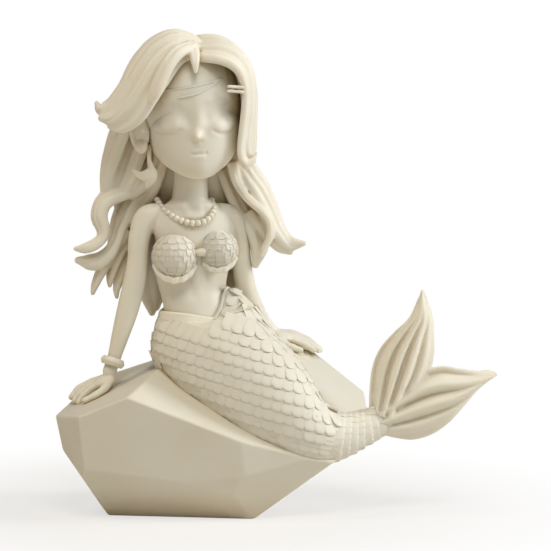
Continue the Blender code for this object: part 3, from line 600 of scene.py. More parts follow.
# %% Body with arms and hands
UPPER_ARM_RADIUS = 3.6
WRIST_RADIUS = 2.3
FINGER_RADIUS = 1.3
BODY_GRAIN = 0.34
NECK = [(1.6, 1.2, 98.0, 8.0), (1.6, 1.2, 101.0, 7.0), (1.6, 1.2, 104.5, 6.0), (1.9, 1.4, 111.0, 5.7),
        (2.2, 2.0, 119.0, 5.8)]
LEFT_ARM = [
    (-9.0, -1.0, 99.0, 0.15),
    (-13.0, -1.5, 97.5, -0.2),
    (-15.2, -2.0, 91.0, -0.05),
    (-15.9, -2.2, 83.0, 0.1),
    (-17.2, -2.6, 75.0, -0.1),
    (-19.3, -3.4, 66.5, 0.0),
    (-21.6, -4.4, 58.5, 0.5),
    (-23.6, -5.4, 51.5, 1.0),
    (-25.2, -6.2, 46.5, 0.95),
]
RIGHT_ARM = [
    (12.0, 2.5, 99.0, 0.3),
    (15.6, 3.5, 97.0, -0.05),
    (17.8, 5.0, 90.5, 0.1),
    (18.6, 6.5, 82.0, 0.2),
    (20.2, 8.5, 72.5, 0.15),
    (23.2, 11.5, 65.5, 0.45),
    (26.6, 13.8, 60.0, 0.9),
    (29.5, 14.5, 56.6, 0.85),
]
LEFT_FINGERS = [
    [(-26.5, -4.0, 44.2), (-31.0, -3.0, 42.6), (-35.6, -3.6, 40.4), (-38.0, -5.2, 37.8)],
    [(-26.5, -5.6, 44.0), (-31.5, -5.6, 41.8), (-35.2, -6.6, 39.2), (-36.8, -8.0, 37.0)],
    [(-26.5, -7.2, 43.6), (-31.0, -8.2, 41.0), (-34.0, -9.4, 38.6), (-35.4, -10.4, 36.8)],
    [(-24.8, -7.6, 44.0), (-26.6, -11.0, 41.6), (-29.6, -13.4, 39.6), (-33.2, -14.4, 37.9)],
]
RIGHT_FINGERS = [
    [(31.0, 16.4, 56.8), (36.0, 17.4, 56.2), (41.4, 17.0, 53.9), (45.0, 16.0, 51.1)],
    [(31.0, 14.6, 56.4), (36.5, 15.2, 55.4), (41.4, 14.8, 53.0), (44.4, 14.0, 51.2)],
    [(31.0, 13.0, 56.0), (36.0, 12.8, 54.5), (40.4, 12.2, 52.8), (42.8, 11.6, 51.6)],
    [(30.0, 11.4, 55.6), (33.0, 9.0, 54.0), (36.2, 8.0, 52.6), (38.4, 7.8, 52.0)],
]


def add_arm(clay, rows):
    rows = smooth_rows(rows, 6)
    radii = [UPPER_ARM_RADIUS + row[3] * (WRIST_RADIUS - UPPER_ARM_RADIUS) for row in rows]
    add_tube(clay, [Vector(row[:3]) for row in rows], [(radius, radius) for radius in radii])


def add_hand(clay, fingers):
    knuckles = sum((Vector(finger[0]) for finger in fingers), Vector()) / len(fingers)
    middles = sum((Vector(finger[1]) for finger in fingers), Vector()) / len(fingers)
    heading = math.atan2(middles.y - knuckles.y, middles.x - knuckles.x)
    slope = math.atan2(knuckles.z - middles.z, (middles - knuckles).xy.length)
    turn = Matrix.Rotation(heading, 4, "Z") @ Matrix.Rotation(slope, 4, "Y")
    add_ball(clay, knuckles.lerp(middles, 0.3), (4.4, 3.6, 1.9), turn)
    for finger in fingers:
        points = [Vector(row) for row in smooth_rows(finger, 6)]
        shares = [i / (len(points) - 1) for i in range(len(points))]
        radii = [FINGER_RADIUS * (1.12 - 0.34 * t * t + 0.06 * math.cos(6 * math.pi * t)) for t in shares]
        add_tube(clay, points, [(radius, radius) for radius in radii], 14)


def body_strokes():
    chest = [on_trunk(compass, 101.6) for compass in (-152, -128, -104)]
    other = [on_trunk(compass, 101.6) for compass in (-66, -46, -28)]
    middle = [on_trunk(-86, height) for height in (83.0, 78.0, 72.0)]
    spine = [on_trunk(96, height) for height in (100.0, 90.0, 80.0, 70.0)]
    return [
        (chest, 1.3, 0.45), (other, 1.3, 0.45), ([on_trunk(-85, 100.4)], 1.6, -0.4),
        (middle, 1.6, -0.25), (spine, 2.0, -0.6),
        ([on_trunk(-120, height) for height in (80, 74, 70)], 2.4, 0.25),
        ([on_trunk(-50, height) for height in (80, 74, 70)], 2.4, 0.25),
    ]


def make_body():
    clay = bmesh.new()
    trunk = [[on_trunk(360 * k / 64, row[0]) for k in range(64)] for row in TORSO]
    add_skin(clay, trunk)
    neck = smooth_rows(NECK, 5)
    add_tube(clay, [Vector(row[:3]) for row in neck], [(row[3], row[3] * 0.94) for row in neck], 40)
    for cup in CUPS:
        add_ball(clay, cup_centre(cup), [CUP_RADIUS * cup["size"] * share for share in (0.95, 0.80, 0.95)])
    for rows in (LEFT_ARM, RIGHT_ARM):
        add_arm(clay, rows)
    for fingers in (LEFT_FINGERS, RIGHT_FINGERS):
        add_hand(clay, fingers)
    piece = melted("body", clay, BODY_GRAIN, 6)
    press(piece, body_strokes())
    cast(piece, SKIN_RESIN)


# %% [markdown]
# The bodice is two rounded cups joined by a knot, covered with small scallops like the tail, and
# it has a ruffled hem under each cup and a plain band round the back.

# %% Cups of the bodice
CUP_RADIUS = 7.2
CUPS = [{"x": -3.4, "share": 0.82, "height": 85.0, "size": 1.05},
        {"x": 11.0, "share": 0.56, "height": 87.0, "size": 0.9}]
CUP_DEPTH = 0.86
CHEST_Y = 0.6


def cup_centre(cup):
    return Vector((cup["x"], CHEST_Y - cup["share"] * CHEST_HALF_DEPTH, cup["height"]))


make_body()

# %% [markdown]
# Geometry Nodes lay the small repeated forms. One tree serves the tail and the bodice: it reads
# a cloud of points whose attributes say which way each scale faces, which way its tip points and
# how large it is, puts one scale on every point, turns it twice, and makes the result real.

# %% A tree that lays scales
def new_tree(name, sockets):
    tree = bpy.data.node_groups.new(name, "GeometryNodeTree")
    tree.interface.new_socket("Geometry", in_out="INPUT", socket_type="NodeSocketGeometry")
    for label, kind in sockets:
        tree.interface.new_socket(label, in_out="INPUT", socket_type="NodeSocket" + kind)
    tree.interface.new_socket("Geometry", in_out="OUTPUT", socket_type="NodeSocketGeometry")
    return tree, tree.nodes.new("NodeGroupInput"), tree.nodes.new("NodeGroupOutput")


def finish_tree(tree, made, given, result):
    """Every tree ends alike: instances made real, and the resin set."""
    real = tree.nodes.new("GeometryNodeRealizeInstances")
    paint = tree.nodes.new("GeometryNodeSetMaterial")
    tree.links.new(made, real.inputs["Geometry"])
    tree.links.new(real.outputs["Geometry"], paint.inputs["Geometry"])
    tree.links.new(given.outputs["Resin"], paint.inputs["Material"])
    tree.links.new(paint.outputs["Geometry"], result.inputs["Geometry"])


def scale_tree():
    tree, given, result = new_tree("Lay scales", [("Scale form", "Object"), ("Thickness", "Float"),
                                                  ("Resin", "Material")])

    def attribute(name):
        node = tree.nodes.new("GeometryNodeInputNamedAttribute")
        node.data_type = "FLOAT_VECTOR"
        node.inputs["Name"].default_value = name
        return node.outputs["Attribute"]

    def turned(axis, vector, before=None):
        node = tree.nodes.new("FunctionNodeAlignRotationToVector")
        node.axis = axis
        tree.links.new(vector, node.inputs["Vector"])
        if before:
            node.pivot_axis = "Z"
            tree.links.new(before, node.inputs["Rotation"])
        return node.outputs["Rotation"]

    form = tree.nodes.new("GeometryNodeObjectInfo")
    tree.links.new(given.outputs["Scale form"], form.inputs["Object"])
    lay = tree.nodes.new("GeometryNodeInstanceOnPoints")
    tree.links.new(given.outputs["Geometry"], lay.inputs["Points"])
    tree.links.new(form.outputs["Geometry"], lay.inputs["Instance"])
    tree.links.new(turned("Y", attribute("tip"), turned("Z", attribute("facing"))), lay.inputs["Rotation"])
    thick = tree.nodes.new("ShaderNodeCombineXYZ")
    for axis in ("X", "Y"):
        thick.inputs[axis].default_value = 1
    tree.links.new(given.outputs["Thickness"], thick.inputs["Z"])
    grow = tree.nodes.new("ShaderNodeVectorMath")
    grow.operation = "MULTIPLY"
    tree.links.new(attribute("size"), grow.inputs[0])
    tree.links.new(thick.outputs["Vector"], grow.inputs[1])
    tree.links.new(grow.outputs["Vector"], lay.inputs["Scale"])
    finish_tree(tree, lay.outputs["Instances"], given, result)
    return tree


def set_inputs(modifier, values):
    """Modifier inputs are set by the socket's identifier, found from its name."""
    for item in modifier.node_group.interface.items_tree:
        if item.in_out == "INPUT" and item.name in values:
            modifier[item.identifier] = values[item.name]


# One scale: how far each cross line lies towards the tip, and its height there.
SCALE_PROFILE = [(0.0, 0.05), (0.35, 0.45), (0.65, 0.82), (0.85, 1.0), (0.94, 0.92), (1.0, 0.60)]
SCALE_HEIGHTS = (0.75, 1.2)


def scale_form():
    """One scale, a unit wide and long: a low cushion with a broad free tip and a crisp rim."""
    across = 6
    clay = bmesh.new()
    top = []
    for v, crown in SCALE_PROFILE:
        line = []
        for i in range(across + 1):
            side = 2 * i / across - 1
            y = -0.62 + (1.12 - 0.16 * abs(side) ** 4) * v
            z = crown * (1 - 0.25 * abs(side) ** 3)
            line.append(clay.verts.new((0.5 * side, y, z)))
        top.append(line)
    for lower, upper in zip(top, top[1:]):
        for i in range(across):
            clay.faces.new((lower[i], lower[i + 1], upper[i + 1], upper[i]))
    rim = top[0][:-1] + [line[-1] for line in top[:-1]] + top[-1][:0:-1] + [line[0] for line in top[:0:-1]]
    foot = [clay.verts.new((v.co.x * 0.9, v.co.y * 0.94, -0.35)) for v in rim]
    for k in range(len(rim)):
        after = (k + 1) % len(rim)
        clay.faces.new((rim[k], foot[k], foot[after], rim[after]))
        clay.edges.get((rim[k], rim[after])).smooth = False
    clay.faces.new(foot)
    return as_object("scale_form", clay)


SCALE_TREE = scale_tree()
SCALE_FORM = scale_form()
print("one scale has", len(SCALE_FORM.data.polygons), "faces")


def lay_scales(name, scales, thickness):
    """Scales are (place, facing, tip direction, width, length); each is a little uneven in height."""
    chance = random.Random(name)
    cloud = bpy.data.meshes.new(name)
    cloud.from_pydata([tuple(scale[0]) for scale in scales], [], [])
    sizes = [Vector((scale[3], scale[4], chance.uniform(*SCALE_HEIGHTS))) for scale in scales]
    for label, values in (("facing", [scale[1] for scale in scales]),
                          ("tip", [scale[2] for scale in scales]), ("size", sizes)):
        column = cloud.attributes.new(label, "FLOAT_VECTOR", "POINT")
        column.data.foreach_set("vector", [number for value in values for number in value])
    piece = bpy.data.objects.new(name, cloud)
    bpy.context.scene.collection.objects.link(piece)
    layer = piece.modifiers.new("Scales", "NODES")
    layer.node_group = SCALE_TREE
    set_inputs(layer, {"Scale form": SCALE_FORM, "Thickness": thickness, "Resin": SCALE_RESIN})
    as_plain_mesh(piece)
    print(name, "has", len(scales), "scales")
    cast(piece, SCALE_RESIN)


# %% Bodice
SCALLOP_ROWS = 7
SCALLOP_PITCH = 2.9
SCALLOP_SIZE = (2.95, 2.8)
# Hem lines under a cup: share of the cup's radius that they lie below its middle, and their radius.
HEMS = [(0.84, 0.45), (0.94, 0.5), (1.04, 0.45)]
HEM_RUFFLE = 0.14


def cup_scallops(cup):
    """Rows of scallops round a cup, from its top edge down to the hem."""
    centre = cup_centre(cup)
    radius = CUP_RADIUS * cup["size"]
    scallops = []
    for row in range(SCALLOP_ROWS):
        lift = math.radians(48 - 100 * row / (SCALLOP_ROWS - 1))
        around = max(6, round(2 * math.pi * radius * math.cos(lift) / SCALLOP_PITCH))
        for k in range(around):
            turn = 2 * math.pi * (k + 0.5 * (row % 2)) / around
            facing = Vector((math.cos(turn) * math.cos(lift), math.sin(turn) * math.cos(lift),
                             math.sin(lift)))
            place = centre + Vector((facing.x * radius, facing.y * radius * CUP_DEPTH, facing.z * radius))
            if facing.y < 0.15:
                down = Vector((0, 0, -1))
                down = (down - down.dot(facing) * facing).normalized()
                scallops.append((place, facing, down, *SCALLOP_SIZE))
    return scallops


def make_bodice():
    clay = bmesh.new()
    for cup in CUPS:
        radius = CUP_RADIUS * cup["size"]
        centre = cup_centre(cup)
        add_ball(clay, centre, (radius, radius * CUP_DEPTH, radius))
        for drop, wide in HEMS:
            hem = []
            for step in range(41):
                turn = math.radians(200 + 140 * step / 40)
                ruffle = HEM_RUFFLE * math.sin(step * 0.9)
                hem.append(centre + Vector((math.cos(turn) * radius,
                                            radius * (-0.62 + 0.42 * math.cos(turn) ** 2) + ruffle,
                                            math.sin(turn) * radius * drop + ruffle - 0.5)))
            add_tube(clay, hem, [(wide, wide)] * len(hem), 10)
    knot = Vector((5.4, CHEST_Y - 1.1 * CHEST_HALF_DEPTH, 86.6))
    add_ball(clay, knot, (2.1, 1.3, 1.4))
    band = [on_trunk(-20 + 220 * step / 40, 84.6 - 1.2 * step / 40, 0.25) for step in range(41)]
    add_tube(clay, band, [(0.7, 1.3)] * len(band), 12, Vector((0, 0, 1)))
    cast(melted("bodice", clay, 0.3, 3), SKIN_RESIN)
    lay_scales("bodice_scallops", [scallop for cup in CUPS for scallop in cup_scallops(cup)], 0.16)


make_bodice()

# %% [markdown]
# The pearls and the bracelet repeat one bead along a path. A second tree turns the path into
# evenly spaced points and sets a small sphere on each.

# %% A tree that strings beads
def bead_tree():
    tree, given, result = new_tree("String beads", [("Bead radius", "Float"), ("Spacing", "Float"),
                                                    ("Resin", "Material")])
    path = tree.nodes.new("GeometryNodeMeshToCurve")
    spots = tree.nodes.new("GeometryNodeCurveToPoints")
    spots.mode = "LENGTH"
    bead = tree.nodes.new("GeometryNodeMeshIcoSphere")
    bead.inputs["Subdivisions"].default_value = 3
    lay = tree.nodes.new("GeometryNodeInstanceOnPoints")
    tree.links.new(given.outputs["Geometry"], path.inputs["Mesh"])
    tree.links.new(path.outputs["Curve"], spots.inputs["Curve"])
    tree.links.new(given.outputs["Spacing"], spots.inputs["Length"])
    tree.links.new(given.outputs["Bead radius"], bead.inputs["Radius"])
    tree.links.new(spots.outputs["Points"], lay.inputs["Points"])
    tree.links.new(bead.outputs["Mesh"], lay.inputs["Instance"])
    finish_tree(tree, lay.outputs["Instances"], given, result)
    return tree


BEAD_TREE = bead_tree()


def string_beads(name, points, radius, spacing):
    path = bpy.data.meshes.new(name)
    path.from_pydata([tuple(point) for point in points], [(i, i + 1) for i in range(len(points) - 1)], [])
    piece = bpy.data.objects.new(name, path)
    bpy.context.scene.collection.objects.link(piece)
    strung = piece.modifiers.new("Beads", "NODES")
    strung.node_group = BEAD_TREE
    set_inputs(strung, {"Bead radius": radius, "Spacing": spacing, "Resin": SKIN_RESIN})
    as_plain_mesh(piece)
    cast(piece, SKIN_RESIN)


# %% Pearls and bracelet
NECKLACE = [
    (-9.4, 0.0, 103.2),
    (-7.3, 0.50, 100.6),
    (-3.9, 0.82, 98.2),
    (0.2, 1.00, 96.6),
    (4.2, 1.02, 96.2),
    (7.6, 0.85, 97.4),
    (9.4, 0.45, 100.0),
    (8.8, -0.05, 103.0),
]


def make_jewellery():
    pearls = [Vector((x, CHEST_Y - share * CHEST_HALF_DEPTH, height))
              for x, share, height in smooth_rows(NECKLACE, 8)]
    string_beads("necklace", pearls, 1.05, 1.8)
    upper, lower = (Vector(row[:3]) for row in LEFT_ARM[-2:])
    along = (lower - upper).normalized()
    across = along.cross(Vector((0, 1, 0))).normalized()
    other = along.cross(across)
    clay = bmesh.new()
    for shift, radius, thick in ((-0.9, 3.1, 0.55), (0.0, 3.3, 0.8), (0.9, 3.2, 0.55)):
        centre = upper.lerp(lower, 0.35) + along * shift
        loops = []
        for k in range(48):
            turn = 2 * math.pi * k / 48
            spoke = across * math.cos(turn) + other * math.sin(turn)
            loops.append([clay.verts.new(centre + spoke * (radius + thick * math.cos(math.pi * j / 6))
                                         + along * (thick * math.sin(math.pi * j / 6))) for j in range(12)])
        add_ring(clay, loops)
    cast(melted("bracelet", clay, 0.25, 3), SKIN_RESIN)


make_jewellery()

# %% [markdown]
# Hair makes half of the figure. Each lock is a flat tube that swells and tapers along its middle
# line, and its outer side is combed: rounded strands with sharp valleys between them, uneven in
# width as a hand would cut them. Locks face away from what they lie on: the fringe from the
# middle of the head, the side locks from behind the shoulders, the back ones from the body.

# %% A combed lock
HAIR_DEPTH = 2.5
LOCK_GROOVE = 0.34
LOCK_SIDES = 72
TIP_STEPS = [(0.30, 0.95), (0.60, 0.80), (0.85, 0.53), (0.97, 0.24)]


def head_anchor(point):
    return Vector((HEAD_CENTRE.x, HEAD_CENTRE.y + 1, min(HEAD_CENTRE.z, point.z)))


def behind_shoulders(point):
    return Vector((HEAD_CENTRE.x, 24, point.z))


def body_axis(point):
    return Vector((HEAD_CENTRE.x, -3, min(HEAD_CENTRE.z, point.z)))


def add_lock(clay, name, rows, anchor_of, strand_width):
    chance = random.Random(name)
    rows = smooth_rows(rows, 8)
    points = [Vector(row[:3]) for row in rows]
    strands = max(2, round(2 * max(row[3] for row in rows) / strand_width))
    shares = [chance.uniform(0.7, 1.3) for _ in range(strands)]
    edges = [sum(shares[:k]) / sum(shares) for k in range(strands + 1)]
    heights = [chance.uniform(0.8, 1.1) for _ in range(strands)]
    apart = chance.uniform(-0.6, 0.6)
    stations = list(zip(rows, points, tangents(points)))
    last_row, last_point, last_along = stations[-1]
    for ahead, share in TIP_STEPS:
        shrunk = (*last_row[:3], last_row[3] * share)
        stations.append((shrunk, last_point + last_along * (ahead * last_row[3]), last_along))
    rings = []
    for row, point, along in stations:
        outward = (point - anchor_of(point)).normalized()
        across = along.cross(outward).normalized()
        outward = across.cross(along)
        depth = HAIR_DEPTH * min(1.0, 0.12 + row[3] / 4.2)
        ring = []
        for k in range(LOCK_SIDES):
            turn = 2 * math.pi * k / LOCK_SIDES
            share = min(0.5 + 0.5 * math.cos(turn), 0.9999)
            strand = max(i for i in range(strands) if edges[i] <= share)
            place = (share - edges[strand]) / (edges[strand + 1] - edges[strand])
            ridge = math.sin(math.pi * place) ** 0.9 * heights[strand]
            raised = 1 - LOCK_GROOVE * (1 - ridge) if math.sin(turn) > 0 else 1
            ring.append(point + across * (row[3] * math.cos(turn))
                        + outward * (apart + depth * raised * math.sin(turn)))
        rings.append(ring)
    add_skin(clay, rings)


# %% [markdown]
# The tables give each lock's middle line as a few points (x, y, height) with its half-width, set
# against the figurine. The fringe parts at the crown, sweeps over the brow to the left and
# falls to the cheek on the right; the long locks wave down past the shoulders.

# %% Fringe
FRINGE = {
    "left_outer": [(4.0, -2.0, 155.0, 4.0), (-3.0, -3.5, 157.6, 5.4), (-10.0, -5.5, 154.6, 5.6),
                   (-15.4, -7.6, 147.6, 5.0), (-19.4, -9.0, 140.6, 4.2), (-23.6, -9.4, 135.4, 3.4),
                   (-27.4, -9.0, 134.0, 2.2), (-28.6, -8.6, 136.0, 1.0)],
    "left_middle": [(4.0, -6.0, 154.6, 3.4), (-3.0, -9.5, 154.8, 4.2), (-9.4, -12.9, 149.6, 4.2),
                    (-14.0, -15.0, 142.4, 3.8), (-18.6, -15.0, 135.8, 3.3), (-23.4, -13.0, 131.4, 2.7),
                    (-27.4, -11.0, 131.2, 1.4)],
    "left_inner": [(3.6, -9.5, 153.8, 3.0), (-2.6, -13.2, 151.4, 3.6), (-7.4, -15.8, 145.0, 3.6),
                   (-11.4, -16.6, 138.6, 3.4), (-15.4, -15.8, 132.6, 3.2), (-20.2, -13.8, 128.9, 2.4),
                   (-24.4, -12.0, 128.6, 1.1)],
    "left_front": [(3.0, -12.0, 155.0, 2.2), (-1.7, -16.8, 153.4, 2.7), (-4.9, -19.6, 149.7, 2.6),
                   (-7.6, -20.9, 144.6, 2.6), (-9.3, -21.0, 140.6, 2.3), (-10.4, -20.6, 138.4, 1.5)],
    "centre_tip": [(2.0, -9.0, 156.0, 2.4), (3.0, -14.5, 153.5, 2.2), (3.7, -17.0, 150.0, 1.5),
                   (3.8, -17.8, 147.0, 0.7)],
    "right_outer": [(4.0, -2.0, 153.5, 4.0), (9.5, -3.0, 154.2, 4.4), (14.4, -3.6, 152.8, 4.6),
                    (17.6, -4.0, 148.6, 4.6), (19.8, -4.2, 142.6, 4.4), (20.8, -4.0, 136.0, 4.2),
                    (20.8, -3.6, 129.0, 4.0), (20.4, -3.4, 122.0, 3.6), (20.0, -3.2, 116.0, 2.4)],
    "right_middle": [(4.3, -7.0, 153.6, 3.0), (10.7, -8.6, 154.2, 3.6), (16.3, -9.2, 152.4, 3.6),
                     (20.4, -9.0, 147.3, 3.0), (21.8, -8.8, 140.3, 2.6), (21.8, -8.6, 132.3, 2.4),
                     (21.0, -8.6, 127.0, 2.2), (20.8, -8.6, 121.0, 1.9), (21.6, -8.4, 118.0, 1.0)],
    "right_inner": [(5.6, -11.6, 151.6, 2.4), (10.7, -13.2, 151.4, 2.6), (15.4, -13.2, 149.8, 2.6),
                    (18.6, -12.6, 146.4, 2.2), (20.2, -11.8, 141.0, 1.8), (20.2, -11.4, 135.0, 1.8),
                    (19.4, -11.2, 128.0, 1.7), (18.7, -11.2, 122.0, 1.6), (19.0, -11.2, 118.5, 1.6),
                    (20.6, -10.8, 116.4, 1.5), (22.6, -10.0, 117.4, 1.0), (23.8, -9.4, 119.6, 0.5)],
}
SIDE_LOCKS = {
    "ear_strand": [(-11.6, -2.6, 122.0, 0.9), (-11.6, -4.2, 117.0, 0.9), (-10.9, -5.2, 113.6, 1.5),
                   (-12.6, -5.8, 112.0, 2.0), (-15.0, -5.6, 112.2, 1.3), (-17.0, -5.2, 113.7, 0.5)],
    "ear_flick": [(-10.6, -5.2, 113.8, 1.6), (-11.2, -6.0, 111.4, 2.2), (-12.1, -6.0, 109.2, 1.4),
                  (-12.8, -5.8, 107.8, 0.5)],
    "left_side": [(-17.0, -2.0, 134.0, 4.4), (-21.6, 0.0, 126.0, 4.4), (-24.4, 1.6, 118.0, 4.0),
                  (-26.4, 2.4, 111.0, 2.8), (-27.6, 2.6, 105.8, 1.0)],
    "left_inner_side": [(-15.0, 2.0, 130.0, 4.2), (-17.4, 3.0, 120.0, 4.4), (-20.0, 3.6, 112.0, 3.8),
                        (-23.0, 3.4, 105.0, 2.6)],
    "left_mid_side": [(-12.6, -1.0, 130.0, 3.6), (-15.6, 0.6, 121.0, 3.8), (-18.6, 2.0, 112.6, 3.6),
                      (-21.6, 2.6, 106.0, 2.6)],
    "left_far_side": [(-20.0, 3.0, 130.0, 4.0), (-22.6, 4.0, 121.0, 4.0), (-25.0, 4.0, 112.6, 3.4),
                      (-25.6, 3.6, 105.0, 2.4)],
    "left_neck": [(-8.0, 4.0, 122.0, 4.0), (-10.0, 5.0, 113.0, 4.4), (-13.0, 5.4, 105.0, 4.4),
                  (-17.0, 5.6, 97.0, 4.0)],
    "left_fill": [(-12.0, 7.0, 114.0, 4.6), (-17.6, 7.0, 104.0, 5.0), (-21.4, 6.6, 96.0, 4.6),
                  (-23.0, 6.4, 88.0, 4.0), (-23.6, 6.2, 81.0, 2.6)],
    "left_s_upper": [(-9.0, 5.0, 116.0, 4.0), (-15.7, 3.6, 108.0, 3.8), (-20.0, 3.0, 106.4, 3.6),
                     (-24.3, 2.4, 104.4, 3.6), (-27.4, 1.6, 101.6, 3.7), (-28.4, 0.8, 97.6, 3.6),
                     (-27.2, 0.2, 93.8, 2.9), (-27.4, -0.4, 90.8, 2.4), (-29.6, -1.2, 88.6, 2.2),
                     (-33.0, -1.8, 87.3, 1.9), (-36.4, -2.2, 87.2, 0.9)],
    "left_s_lower": [(-14.0, 5.6, 104.0, 3.6), (-19.6, 4.6, 98.4, 3.2), (-22.2, 3.6, 93.2, 2.8),
                     (-23.6, 2.6, 89.2, 2.6), (-25.8, 1.6, 85.6, 3.0), (-29.0, 0.8, 83.2, 3.2),
                     (-32.4, 0.2, 82.4, 2.7), (-35.6, -0.2, 82.9, 1.4)],
    "left_third": [(-20.0, 5.0, 93.0, 3.0), (-25.0, 3.6, 85.0, 2.6), (-27.6, 3.0, 80.6, 2.4),
                   (-29.4, 2.8, 77.0, 2.0), (-30.6, 2.8, 74.0, 1.5), (-31.2, 2.8, 71.8, 0.8)],
    "left_fourth": [(-18.0, 6.4, 92.0, 3.4), (-22.4, 5.8, 86.0, 3.0), (-24.8, 5.2, 80.0, 2.4),
                    (-25.6, 4.8, 76.4, 1.7), (-25.8, 4.6, 74.2, 0.8)],
    "left_tip_inner": [(-14.0, 8.0, 94.0, 4.4), (-18.4, 8.0, 85.0, 3.8), (-21.8, 7.0, 77.4, 2.6),
                       (-23.2, 6.2, 73.0, 1.6), (-23.2, 6.0, 70.2, 0.8)],
    "right_outer_long": [(16.0, 3.0, 124.0, 4.4), (19.6, 4.0, 114.0, 4.6), (24.4, 4.2, 106.4, 4.8),
                         (28.0, 4.0, 99.0, 4.4), (30.6, 3.4, 92.6, 3.8), (34.4, 2.6, 88.6, 2.8),
                         (39.4, 2.0, 88.6, 1.0)],
    "right_s_inner": [(15.4, 0.0, 116.0, 2.0), (17.0, -0.6, 110.0, 1.8), (19.6, -1.0, 105.4, 1.6),
                      (22.4, -1.2, 102.4, 1.5), (25.3, -1.2, 100.0, 1.5), (27.7, -1.0, 97.0, 1.5),
                      (28.4, -0.8, 93.6, 1.5), (28.0, -0.6, 90.6, 1.5), (26.6, -0.4, 87.6, 1.3),
                      (25.3, -0.2, 84.6, 0.8)],
    "right_fill": [(14.0, 6.6, 114.0, 5.0), (18.6, 6.6, 103.0, 5.4), (23.0, 6.2, 94.4, 5.2),
                   (24.6, 5.6, 87.6, 4.0), (23.4, 5.2, 81.4, 1.6)],
    "right_lower": [(22.0, 5.6, 100.0, 4.0), (27.6, 5.0, 92.4, 4.0), (31.0, 4.2, 87.6, 3.0),
                    (34.6, 3.4, 85.2, 1.2)],
}
BACK_LOCKS = {
    "left_back": [(-9.0, 10.0, 112.0, 5.4), (-11.6, 11.4, 98.0, 5.6), (-12.8, 12.0, 84.0, 5.0),
                  (-13.2, 11.6, 73.0, 3.8), (-11.4, 10.6, 64.6, 1.4)],
    "left_back_inner": [(-4.0, 11.6, 100.0, 5.0), (-6.4, 12.0, 88.0, 5.0), (-8.4, 12.0, 78.0, 4.4),
                        (-9.4, 11.6, 71.0, 3.4), (-9.8, 11.2, 66.4, 1.6)],
    "right_back": [(9.0, 11.0, 112.0, 5.4), (13.0, 12.4, 98.0, 5.6), (15.4, 13.0, 85.0, 4.8),
                   (15.0, 12.6, 76.0, 3.2), (13.0, 11.8, 69.4, 1.2)],
    "left_crown": [(2.0, 0.0, 156.4, 3.0), (-6.0, 0.2, 156.6, 5.0), (-13.4, 0.4, 151.4, 5.4),
                   (-18.2, 0.4, 143.4, 5.2), (-20.8, 0.8, 134.0, 4.8), (-22.0, 2.0, 125.0, 4.0)],
    "right_crown": [(4.6, 0.0, 155.6, 3.0), (11.6, 0.6, 154.8, 5.0), (17.8, 1.6, 149.4, 5.2),
                    (20.8, 2.0, 140.4, 4.8), (21.0, 2.4, 130.0, 4.4), (20.4, 3.0, 120.0, 4.0)],
    "left_temple": [(0.6, 2.0, 156.2, 2.8), (-7.0, 5.0, 154.4, 5.0), (-14.6, 7.6, 147.0, 5.6),
                    (-18.2, 8.6, 137.0, 5.6), (-20.0, 9.4, 125.0, 5.4), (-19.6, 9.8, 112.0, 5.2),
                    (-20.6, 9.4, 100.0, 4.6), (-19.6, 8.6, 88.0, 3.4)],
    "right_temple": [(4.6, 2.0, 156.0, 2.8), (11.0, 4.6, 154.0, 4.8), (18.0, 6.8, 147.0, 5.2),
                     (20.6, 7.6, 137.0, 5.2), (21.0, 8.0, 126.0, 5.2), (20.6, 9.0, 114.0, 5.0),
                     (22.6, 9.4, 103.0, 4.4), (24.6, 8.4, 93.0, 3.0)],
    "back_left": [(1.0, 4.0, 156.2, 2.6), (-5.0, 10.0, 154.0, 4.6), (-10.0, 15.4, 147.0, 5.8),
                  (-12.6, 17.2, 136.0, 6.2), (-13.0, 16.6, 122.0, 6.2), (-11.0, 16.4, 106.0, 5.6),
                  (-9.4, 17.0, 91.0, 5.0), (-7.0, 15.8, 78.0, 3.6), (-6.6, 14.4, 68.6, 1.2)],
    "back_middle": [(2.5, 5.0, 156.4, 2.6), (2.0, 13.0, 153.6, 5.0), (1.0, 19.0, 146.0, 6.2),
                    (1.0, 20.8, 135.0, 6.4), (2.4, 18.8, 121.0, 6.4), (4.0, 17.4, 105.0, 5.8),
                    (2.0, 18.4, 90.0, 5.0), (3.4, 16.8, 76.0, 3.6), (2.0, 15.0, 65.6, 1.2)],
    "back_right": [(4.0, 4.0, 156.2, 2.6), (9.0, 10.0, 154.0, 4.6), (14.0, 15.0, 147.0, 5.8),
                   (16.2, 16.8, 136.0, 6.2), (16.6, 16.0, 122.0, 6.2), (14.0, 16.2, 106.0, 5.6),
                   (12.6, 17.2, 91.0, 5.0), (11.0, 16.0, 79.0, 3.6), (11.6, 14.6, 70.0, 1.2)],
}
# What lies under the back locks and closes the gaps between them: middle, half-width, half-depth.
UNDERHAIR = [(2.0, 8.0, 138.0, 16.0, 9.6), (2.0, 9.4, 124.0, 18.0, 8.4), (2.4, 10.4, 110.0, 18.0, 6.6),
             (3.0, 11.6, 96.0, 17.0, 5.2), (3.2, 12.4, 82.0, 14.0, 4.0), (3.2, 12.6, 72.0, 9.0, 2.6)]
HAIR_GRAIN = 0.4


